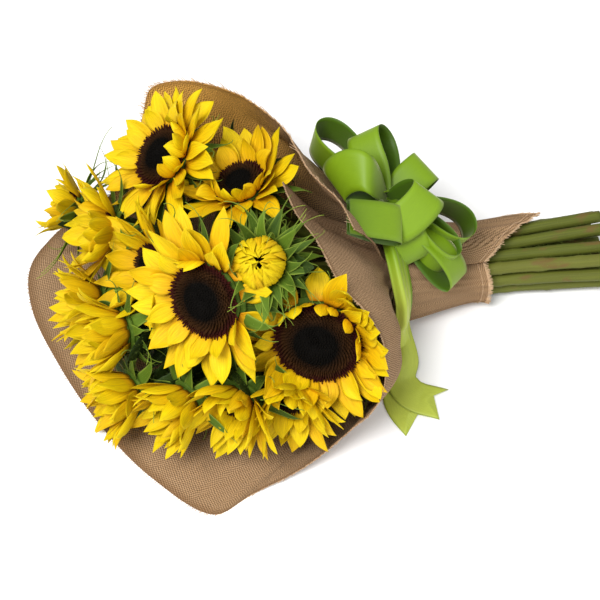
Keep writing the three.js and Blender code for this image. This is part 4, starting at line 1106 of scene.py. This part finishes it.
def satin_tail(tail, grid, look):
    """A loose end, draped over the near side of the sheet and laid out on the table."""
    probe = tail["drape"] - TAIL_GATHER * RIBBON_WIDE / 2
    over = tangent_corners(grid, probe, tail["drape"], tail["lift"])
    turns = TURN * np.arange(len(over)) / len(over)
    near = over[(turns > 0.3) & (turns < 1.95) & (over[:, 1] < 20)][::4]
    start = KNOT - TOWARDS * KNOT_RADIUS + np.array([tail["drape"] / 3, -6, 0])
    centres = evenly(np.vstack([start, near, np.array(tail["ends"], float)]), TAIL_STEPS)
    share = np.linspace(0, 1, TAIL_STEPS)
    halves = RIBBON_WIDE / 2 * (TAIL_GATHER + (1 - TAIL_GATHER) * ease(0.42, 0.96, share))
    across = unit((1, 0.12, 0))
    travel = directions(centres)
    side = unit(across - travel * np.sum(across * travel, axis=1, keepdims=True))
    lowest = tail["floor"] + np.abs(side[:, 2]) * RIBBON_WIDE / 2
    centres[:, 2] = np.maximum(centres[:, 2], lowest)
    # Painted shade on the upper part of the tail under the bow, and painted light further out where it lies
    # flat on the table.
    tint = 0.3 + 0.7 * ease(0.1, 0.5, share)
    heap = Heap()
    strip(heap, centres, side * halves[:, None], columns=12, bow=0.8, notch=TAIL_NOTCH, pleats=0.5,
          ridge=5.5, tints=(tint, tint))
    return heap.mesh(f"satin_tail_{tail['name']}", [look]), travelled(centres)


# Blooms

def head_of(bloom):
    """The place of a bloom's disc, where it faces, and two directions across it."""
    facing = unit(bloom["facing"])
    right = unit(np.cross(UP, facing))
    centre = np.array(bloom["centre"], float)
    return dict(centre=centre, facing=facing, right=right, up=np.cross(facing, right))


def radial(head, angle):
    """The way out from the middle of a disc at an angle round it."""
    return head["right"] * math.cos(angle) + head["up"] * math.sin(angle)


def stem_line(bloom, head):
    """The line of a stem, from its cut end through the neck of the bundle into its head."""
    random = draws(bloom["seed"])
    across, row = bloom["slot"]
    waist = np.array([WAIST_X, across * STEM_PITCH, LOWEST_STEM_Z + row * STEM_PITCH])
    end_x = random(*STEM_ENDS_X)
    end_y = waist[1] * STEM_SPREAD + STEM_ENDS_ASIDE + random(-1.8, 1.8)
    end_z = (waist[2] - LOWEST_STEM_Z) * STEM_SPREAD + LOWEST_STEM_Z + random(-1.5, 1.5)
    top = head["centre"] - head["facing"] * (RECEPTACLE_TOP + RECEPTACLE_DEPTH * 0.6)
    below = head["centre"] - head["facing"] * (RECEPTACLE_TOP + RECEPTACLE_DEPTH + 14)
    fan = []
    for share in (0.3, 0.66):
        place = waist + (below - waist) * share**FAN_POWER
        place[0] = waist[0] + (below[0] - waist[0]) * share
        fan.append(place)
    return [(end_x, end_y, end_z), waist, *fan, below, top]


def around(line, radii, sides):
    """Rings round a line, without any twist from one to the next."""
    travel = directions(line)
    side = unit(np.cross(travel[0], UP))
    rings = []
    turns = TURN * np.arange(sides) / sides
    for place, ahead, radius in zip(line, travel, radii):
        side = unit(side - ahead * np.dot(side, ahead))
        other = np.cross(ahead, side)
        rings.append(place + (np.cos(turns)[:, None] * side + np.sin(turns)[:, None] * other) * radius)
    return np.stack(rings)


def blade(form, spec, steps, columns):
    """Rings of a petal, bract or leaf, and their places along it and across it."""
    root, along, front = spec["root"], spec["along"], spec["front"]
    side = np.cross(along, front)
    t = np.linspace(0, 1, steps + 1) ** 0.9
    lean = np.radians(spec["pitch"] + spec["bend"] * t + spec["curl"] * t**3)
    sweep = np.radians(spec["sweep"] * t**2)
    ahead = np.cos(lean)[:, None] * along + np.sin(lean)[:, None] * front
    travel = unit(ahead + np.tan(sweep)[:, None] * side)
    middle = 0.5 * (travel[1:] + travel[:-1])
    moves = middle * (np.diff(t) * spec["length"])[:, None]
    centres = root + np.vstack([np.zeros(3), np.cumsum(moves, axis=0)])
    across = unit(side - travel * np.sum(side * travel, axis=1, keepdims=True))
    up = np.cross(across, travel)
    roll = np.radians(spec["twist"] * t)[:, None]
    across, up = across * np.cos(roll) + up * np.sin(roll), up * np.cos(roll) - across * np.sin(roll)
    u = np.linspace(-1, 1, columns + 1)
    half = form["outline"](t) * spec["wide"] / 2
    cup = spec["cup"] * (0.3 + t) * 1.2
    deep = form["groove"] * np.sin(np.minimum(t * 1.1, 1) * math.pi)
    groove = deep[:, None] * np.cos(u * math.pi * 2.5)[None, :]
    wave = spec["ripple"] * (t * half) * np.sin(t * 9 + spec["phase"])
    ripple = wave[:, None] * (np.abs(u) ** 3 * np.sign(u))[None, :]
    rise = cup[:, None] * half[:, None] * 2 * (u**2)[None, :] + groove + ripple
    body = form["thick"] / 2 * np.sqrt(np.maximum(1 - u**2, 0))[None, :] * (1 - 0.5 * t)[:, None] + 0.04
    flat = centres[:, None] + across[:, None] * (half[:, None] * u[None, :])[..., None]
    top = flat + up[:, None] * (rise + body)[..., None]
    bottom = (flat + up[:, None] * (rise - body)[..., None])[:, ::-1]
    places = np.stack(np.broadcast_arrays(t[:, None], u[None, :]), axis=-1)
    return np.concatenate([top, bottom], axis=1), np.concatenate([places, places[:, ::-1]], axis=1)


def petal_outline(t):
    """Half narrow at the root, widest before the middle, with a blunt point."""
    base = 0.5 + 0.5 * np.sin(np.minimum(t / 0.46, 1) * math.pi / 2)
    point = np.cos(np.clip((t - 0.46) / 0.54, 0, 1) ** 1.15 * math.pi / 2)
    return np.maximum(base * point, 0.012)


def bract_outline(t):
    """Broad at the root, then a long thin tip."""
    body = np.maximum(1 - (t / 0.68) ** 1.8, 0)
    tip = 0.13 * (1 - t) + 0.02
    return np.maximum(np.where(t < 0.68, body, 0), tip)


def leaf_outline(t):
    """A broad leaf with a toothed edge."""
    body = np.sin(np.clip(t, 0, 1) ** 0.62 * math.pi) ** 0.75
    teeth = 1 + 0.09 * (0.5 - np.mod(t * 11, 1))
    return np.maximum(body * teeth * (1 - 0.2 * t), 0.03)


PETAL = dict(outline=petal_outline, thick=0.7, groove=0.34)
BRACT = dict(outline=bract_outline, thick=0.9, groove=0.12)
LEAF = dict(outline=leaf_outline, thick=0.7, groove=0.5)


def leans(pitches, bends, scales):
    """Changes of lean, bend and length to try, the mildest first."""
    return [(pitch, bend, scale) for scale in scales for pitch in pitches for bend in bends]


def set_clear(form, spec, tries, obstacles, beside):
    """The first lean that keeps a blade off its neighbours, else the one that crosses least."""
    best, fewest = None, None
    for pitch, bend, scale in tries:
        tried = dict(spec, pitch=spec["pitch"] + pitch, bend=spec["bend"] + bend)
        tried["length"] *= scale
        tree = tree_of(*blade_solid(form, tried))
        hard = sum(len(tree.overlap(other)) for other in obstacles)
        soft = sum(1 for other in beside if tree.overlap(other)) if hard == 0 else 0
        crossed = hard * 100 + soft
        if fewest is None or crossed < fewest:
            best, fewest = tried, crossed
        if crossed <= 1:
            break
    return best, fewest >= 100


def place_blade(heap, form, spec, steps, columns, tint, slot=0):
    """A petal, bract or leaf added to a heap."""
    rings, places = blade(form, spec, steps, columns)
    points, faces = tube(rings)
    heap.add(points, faces, places, tint, slot)


def blade_solid(form, spec):
    """A coarse copy of a blade, to test what it meets."""
    rings, _ = blade(form, spec, 6, 2)
    return tube(rings)


def joined_tree(shapes):
    """One tree of several shapes, to test what meets any of them."""
    points, faces, count = [], [], 0
    for some, those in shapes:
        points.extend(some.tolist())
        faces.extend([[corner + count for corner in face] for face in those])
        count += len(some)
    return BVHTree.FromPolygons(points, faces)


def petal_specs(bloom, head):
    """Petals in four layers round the disc, the inner ones shorter and more upright."""
    random = draws(bloom["seed"] + 1)
    count = bloom["petals"]
    layers = len(PETAL_LAYERS)
    for index in range(count):
        layer = index * layers // count
        beyond, rise, long, lean = PETAL_LAYERS[layer]
        angle = TURN * ((index * layers) % count + layer + random(-0.35, 0.35)) / count
        along = radial(head, angle)
        spec = dict(
            root=head["centre"] + along * (bloom["disc"] + beyond) + head["facing"] * rise,
            along=along, front=head["facing"],
            length=bloom["length"] * random(0.82, 1.08) * long,
            wide=bloom["wide"] * random(0.8, 1.08),
            pitch=bloom["open"] + lean + random(-6, 6), bend=bloom["bend"] + random(-22, 18),
            curl=random(-44, 46), sweep=random(-20, 20), twist=random(-30, 30),
            cup=random(0.02, 0.2), ripple=random(-0.24, 0.24), phase=random(0, 6),
        )
        middle, spread = PUSHED.get(bloom["name"], (0, -1))
        seen = math.degrees(math.atan2(np.dot(along, VIEW_UP), np.dot(along, VIEW_RIGHT)))
        if abs((seen - middle + 180) % 360 - 180) < spread:
            if layer:
                continue
            spec.update(pitch=random(-40, -24), bend=random(-20, 10), length=spec["length"] * 0.6)
        if bloom["name"] == "bud":
            spec.update(
                pitch=38 + 6 * layer + random(-5, 5), bend=124 - 4 * layer + random(-10, 10),
                curl=random(-26, 12), length=bloom["length"] * random(0.92, 1.08),
                sweep=random(-14, 14), twist=random(-14, 14), cup=random(0.02, 0.1))
        yield spec
    middle, spread, folds_over = FOLDED.get(bloom["name"], (0, 0, 0))
    for index in range(folds_over):
        seen = math.radians(middle + spread * (2 * (index + 0.5) / folds_over - 1) + random(-4, 4))
        aim = VIEW_RIGHT * math.cos(seen) + VIEW_UP * math.sin(seen)
        along = radial(head, math.atan2(np.dot(aim, head["up"]), np.dot(aim, head["right"])))
        start = bloom["disc"] + random(-0.6, 1.4)
        yield dict(
            root=head["centre"] + along * start - head["facing"] * random(1.0, 2.4),
            along=along, front=head["facing"], length=random(17, 25), wide=random(11, 15),
            pitch=random(50, 74), bend=random(16, 70), curl=random(-40, 30), sweep=random(-22, 22),
            twist=random(-24, 24), cup=random(0.08, 0.24), ripple=random(-0.2, 0.2),
            phase=random(0, 6),
        )


def petals_of(bloom, head, obstacles, neighbours):
    """The petals of one head on the ring that carries them, and a coarse copy of each."""
    random = draws(bloom["seed"] + 9)
    tries = leans([0, 9, -9, 20, 34, 50, 66], [0, 22], [1, 0.82])
    heap, shapes, beside = Heap(), [], []
    for spec in petal_specs(bloom, head):
        kept = spec["pitch"] > bloom["open"] + KEPT_PITCH or bloom["name"] == "bud"
        chosen, crossing = set_clear(
            PETAL, spec, tries[:1] if kept else tries, obstacles, [*neighbours, *beside[-4:]])
        if crossing:
            continue
        place_blade(heap, PETAL, chosen, PETAL_STEPS, 8, random(0, 1))
        shapes.append(blade_solid(PETAL, chosen))
        beside.append(tree_of(*shapes[-1]))
    places = np.array([head["centre"] - head["facing"] * depth for depth, _ in CARRIER])
    radii = [bloom["disc"] + beyond for _, beyond in CARRIER]
    points, faces = tube(around(places, radii, DISC_SIDES))
    heap.add(points, faces, np.full((len(points), 2), (0.2, 0.0)), 0.2, 1)
    return heap, shapes


def bracts_of(heap, bloom, head, obstacles, petals):
    """Pointed bracts under the head, with long thin curled tips."""
    random = draws(bloom["seed"] + 2)
    closed = bloom["name"] == "bud"
    pitches = [0, 12, 24, 36, -12] if closed else [0, -12, 12, -26, 24, -42, -60]
    tries = leans(pitches, [0, 40, -50], [1, 0.75])
    shapes, beside = [], []
    layers = 5 if closed else 2
    long = 41 if closed else 54 if bloom["name"] == "far_left" else 38
    for index in range(bloom["bracts"]):
        layer = index % layers
        angle = TURN * (index + random(-0.3, 0.3)) / bloom["bracts"]
        along = radial(head, angle)
        spec = dict(
            root=head["centre"] + along * (bloom["disc"] + 1 - layer) - head["facing"] * (9 + 1.4 * layer),
            along=along, front=head["facing"],
            length=long * random(0.8, 1.4), wide=(13.5 if closed else 12) * random(0.8, 1.1),
            pitch=(56 - 14 * layer if closed else -8 - 22 * layer) + random(-12, 12),
            bend=(-30 if closed else 14) + random(-34, 34), curl=random(-230, 130),
            sweep=random(-76, 76), twist=random(-60, 60), cup=random(0.02, 0.16),
            ripple=random(-0.3, 0.3), phase=random(0, 6),
        )
        chosen, crossing = set_clear(BRACT, spec, tries, obstacles, [*petals, *beside[-3:]])
        if crossing:
            continue
        place_blade(heap, BRACT, chosen, 13, 4, random(0, 1), 1)
        shapes.append(blade_solid(BRACT, chosen))
        beside.append(tree_of(*shapes[-1]))
    return shapes


def leaves_of(heap, bloom, head, line, obstacles):
    """Toothed leaves on the stem below the head."""
    random = draws(bloom["seed"] + 3)
    tries = leans([0, 14, -14, 28, -28, 44, 60], [0, 30, -30], [1, 0.8, 0.6])
    shapes = []
    for index in range(bloom["leaves"]):
        place = 0.93 - 0.04 * index
        root, ahead = evenly(line, 2, np.array([place, place + 0.01]))
        tangent = unit(ahead - root)
        for turn in range(8):
            angle = TURN * (turn / 8) + random(0, 0.4) + index * 2.6
            away = radial(head, angle)
            spec = dict(
                root=root, along=unit(away - tangent * np.dot(away, tangent)), front=tangent,
                length=74 * random(0.85, 1.1), wide=46 * random(0.85, 1.1), pitch=46, bend=-10,
                curl=random(-30, 10), sweep=random(-12, 12), twist=random(-20, 20), cup=0.08, ripple=0.1,
                phase=random(0, 6),
            )
            chosen, crossing = set_clear(LEAF, spec, tries, obstacles, [])
            if not crossing:
                place_blade(heap, LEAF, chosen, 34, 10, random(0, 1), 2)
                shapes.append(blade_solid(LEAF, chosen))
                break
    return shapes


def stalk_of(heap, bloom, head, line):
    """The stalk with its cut end, and the green cup that carries the head."""
    fine = evenly(line, STEM_STEPS)
    random = draws(bloom["seed"] + 4)
    knots = [random(0.05, 0.8) for _ in range(KNOTS_ON_STEM)]
    shares = np.linspace(0, 1, STEM_STEPS)
    radii = STEM_RADIUS * (1 + 0.03 * np.sin(shares * 40 + bloom["seed"]))
    for knot in knots:
        radii += 0.7 * np.exp(-(((shares - knot) / 0.008) ** 2))
    points, faces = tube(around(fine, radii, STEM_SIDES))
    run = shares[:, None] * 6
    turn = np.linspace(-1, 1, STEM_SIDES)[None, :]
    heap.add(points, faces, np.stack(np.broadcast_arrays(run, turn), axis=-1), random(0, 1))
    cap = points[faces[-2]].mean(axis=0)
    from_last = 2 if np.linalg.norm(cap - fine[0]) < 2 else 1
    heap.slots[len(heap.faces) - from_last] = 3
    edge = bloom["disc"] + PLATE_OVERHANG
    depths = RECEPTACLE_TOP + RECEPTACLE_DEPTH * np.array([0, 0.06, 0.16, 0.34, 0.6, 0.85, 1.15])
    wides = [edge - 1.5, edge - 0.4, edge - 1.2, edge * 0.84, edge * 0.6, edge * 0.3 + 4, STEM_RADIUS]
    places = np.array([head["centre"] - head["facing"] * depth for depth in depths])
    points, faces = tube(around(places, wides, CUP_SIDES))
    run = np.linspace(0, 0.4, len(depths))[:, None]
    turn = np.linspace(-0.6, 0.6, CUP_SIDES)[None, :]
    heap.add(points, faces, np.stack(np.broadcast_arrays(run, turn), axis=-1), 0.3, 1)
    return tube(around(evenly(line, 24), np.full(24, STEM_RADIUS), 6)), (points, faces)


def disc_mesh(bloom, head, look):
    """The dark disc: a low dome with its florets in crossing spirals."""
    crown = bloom["disc"] * DISC_CROWN
    shares = np.linspace(1, 0.02, 14)
    dome = np.cos(shares * math.pi / 2) + 0.55 * (1 - shares) - np.exp(-26 * shares**2)
    wides = np.concatenate([[0.9 * bloom["disc"]], shares * bloom["disc"] * 0.985])
    levels = np.concatenate([[-DISC_UNDERSIDE], crown * dome - 0.2])
    turns = TURN * np.arange(DISC_SIDES) / DISC_SIDES
    circle = np.stack([np.cos(turns), np.sin(turns), np.zeros(DISC_SIDES)], axis=-1)
    points, faces = tube(circle[None] * wides[:, None, None] + UP * levels[:, None, None])
    heap = Heap()
    heap.add(points, faces)
    base = heap.mesh("disc_base", [look], moved=False)
    ring = base.attributes.new("ring", "FLOAT", "POINT")
    ring.data.foreach_set("value", np.linalg.norm(points[:, :2], axis=1) / bloom["disc"])
    mesh = grown(base, FLORETS, {
        "Radius": bloom["disc"] * MM, "Crown": crown * MM, "Floret": FLORET_THICK,
        "Count": int(FLORETS_FOR_RADIUS * bloom["disc"] ** 2), "Seed": bloom["seed"], "Material": look})
    place = Matrix.Translation(Vector((head["centre"] + SHIFT) * MM))
    mesh.transform(place @ basis_of(head["right"], head["up"], head["facing"]))
    return mesh


# Assembly

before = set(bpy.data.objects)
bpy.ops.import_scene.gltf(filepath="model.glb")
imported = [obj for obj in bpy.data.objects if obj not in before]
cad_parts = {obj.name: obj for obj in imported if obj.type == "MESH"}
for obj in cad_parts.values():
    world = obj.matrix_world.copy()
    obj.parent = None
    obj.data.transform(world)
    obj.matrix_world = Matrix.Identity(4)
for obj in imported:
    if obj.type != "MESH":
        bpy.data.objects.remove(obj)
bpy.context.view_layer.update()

LOOKS = dict(
    burlap=burlap_material(), thread=thread_material(), ribbon=ribbon_material(), petal=petal_material(),
    floret=floret_material(), stalk=stalk_material(), pith=pith_material(), bract=bract_material(),
    leaf=leaf_material(), hair=hair_material(), floor=floor_material(),
)


def wrap_pieces():
    """The burlap with its fringe and stitches."""
    grid, mesh, tree = burlap_sheet(LOOKS["burlap"])
    sheet = piece("burlap_sheet", mesh, ["burlap_wrap"])
    loose = piece("burlap_fringe", fringe(grid, LOOKS["thread"]))
    stitches = piece("hem_stitches", hem_stitches(grid, LOOKS["thread"]))
    return grid, tree


def ribbon_pieces(grid):
    """The band, the bow and the two tails."""
    band = piece("satin_band", satin_band(grid, LOOKS["ribbon"]), ["ribbon_band"])
    mesh, length = satin_bow(LOOKS["ribbon"])
    bow = piece("satin_bow", mesh, ["ribbon_bow"])
    for tail in TAILS:
        mesh, length = satin_tail(tail, grid, LOOKS["ribbon"])
        made = piece(f"satin_tail_{tail['name']}", mesh, [f"ribbon_tail_{tail['name']}"])


def bloom_pieces(sheet_tree):
    """Every bloom: its petals and disc, then its stalk, each kept off what is already there."""
    heads = [head_of(bloom) for bloom in BLOOMS]
    lines = [stem_line(bloom, head) for bloom, head in zip(BLOOMS, heads)]
    greens = [Heap() for _ in BLOOMS]
    cores = [stalk_of(*each) for each in zip(greens, BLOOMS, heads, lines)]
    core_trees = [joined_tree(core) for core in cores]
    disc_trees = []
    for bloom, head in zip(BLOOMS, heads):
        depths = np.array([-3, bloom["disc"] * -0.2, 3.5])
        wides = [bloom["disc"], bloom["disc"], bloom["disc"] + 2]
        disc = tube(around(head["centre"] - head["facing"] * depths[:, None], wides, 16))
        disc_trees.append(joined_tree([disc]))
    petal_trees = []
    for index, (bloom, head) in enumerate(zip(BLOOMS, heads)):
        name = bloom["name"]
        others = [tree for place, tree in enumerate(core_trees) if place != index]
        discs = [tree for place, tree in enumerate(disc_trees) if place != index]
        heap, shapes = petals_of(bloom, head, [sheet_tree, *others, *discs], petal_trees)
        petal_trees.append(joined_tree(shapes))
        petals = heap.mesh(f"ray_petals_{name}", [LOOKS["petal"], LOOKS["bract"]])
        piece(f"ray_petals_{name}", petals, [f"petals_{name}"])
        piece(f"florets_{name}", disc_mesh(bloom, head, LOOKS["floret"]), [f"disc_{name}"])
    green_trees = []
    looks = [LOOKS["stalk"], LOOKS["bract"], LOOKS["leaf"], LOOKS["pith"]]
    for index, (bloom, head) in enumerate(zip(BLOOMS, heads)):
        name, heap = bloom["name"], greens[index]
        others = [tree for place, tree in enumerate(core_trees) if place != index]
        obstacles = [sheet_tree, *others, *disc_trees]
        beside = [*petal_trees, *green_trees]
        shapes = bracts_of(heap, bloom, head, obstacles, beside)
        shapes += leaves_of(heap, bloom, head, lines[index], [*obstacles, *beside])
        if shapes:
            green_trees.append(joined_tree(shapes))
        skin = heap.mesh(f"stalk_{name}", looks)
        mesh = grown(skin, HAIRS, {"Seed": bloom["seed"], "Material": LOOKS["hair"]})
        piece(f"stalk_{name}", mesh, [f"stem_{name}"])


def camera():
    """The photograph's view, with the lens and the distance that fit it."""
    ahead = unit(np.cross(VIEW_UP, VIEW_RIGHT))
    aside = (NECK_PIXEL[0] - PHOTO_WIDE / 2) / FOCAL_PIXELS
    above = (PHOTO_WIDE / 2 - NECK_PIXEL[1]) / FOCAL_PIXELS
    place = NECK_PLACE + SHIFT - NECK_AWAY * (ahead + aside * VIEW_RIGHT + above * VIEW_UP)
    made = bpy.data.objects.new("camera", bpy.data.cameras.new("camera"))
    made.data.lens = SENSOR_WIDE * FOCAL_PIXELS / PHOTO_WIDE
    made.data.sensor_width = SENSOR_WIDE
    bpy.context.scene.collection.objects.link(made)
    turned = basis_of(VIEW_RIGHT, VIEW_UP, -ahead)
    made.matrix_world = Matrix.Translation(Vector(place * MM)) @ turned
    bpy.context.scene.camera = made


def light(name, place, aim, size, power):
    """A soft square light at a place, turned to its aim."""
    data = bpy.data.lights.new(name, "AREA")
    data.size = size
    data.energy = power
    made = bpy.data.objects.new(name, data)
    made.location = place
    made.rotation_euler = (Vector(aim) - Vector(place)).to_track_quat("-Z", "Y").to_euler()
    bpy.context.scene.collection.objects.link(made)


def studio():
    """Soft white surroundings, two lights and the pale floor."""
    world = bpy.data.worlds.new("soft_white_room")
    world.use_nodes = True
    world.node_tree.nodes["Background"].inputs["Color"].default_value = (1, 1, 1, 1)
    world.node_tree.nodes["Background"].inputs["Strength"].default_value = 0.55
    bpy.context.scene.world = world
    light("soft_key", (-0.7, -0.5, 1.5), (-0.05, 0, 0.05), 0.8, 34)
    light("soft_fill", (0.9, -1.2, 1.2), (0, 0, 0.05), 1.2, 7)
    heap = Heap()
    heap.add(np.array([(-1, -1, 0), (1, -1, 0), (1, 1, 0), (-1, 1, 0)]) * FLOOR_REACH, [[0, 1, 2, 3]])
    floor = bpy.data.objects.new("pale_floor", heap.mesh("pale_floor", [LOOKS["floor"]]))
    bpy.context.scene.collection.objects.link(floor)
    bpy.context.scene.view_settings.view_transform = "Standard"


camera()
studio()
GRID, SHEET_TREE = wrap_pieces()
ribbon_pieces(GRID)
bloom_pieces(SHEET_TREE)
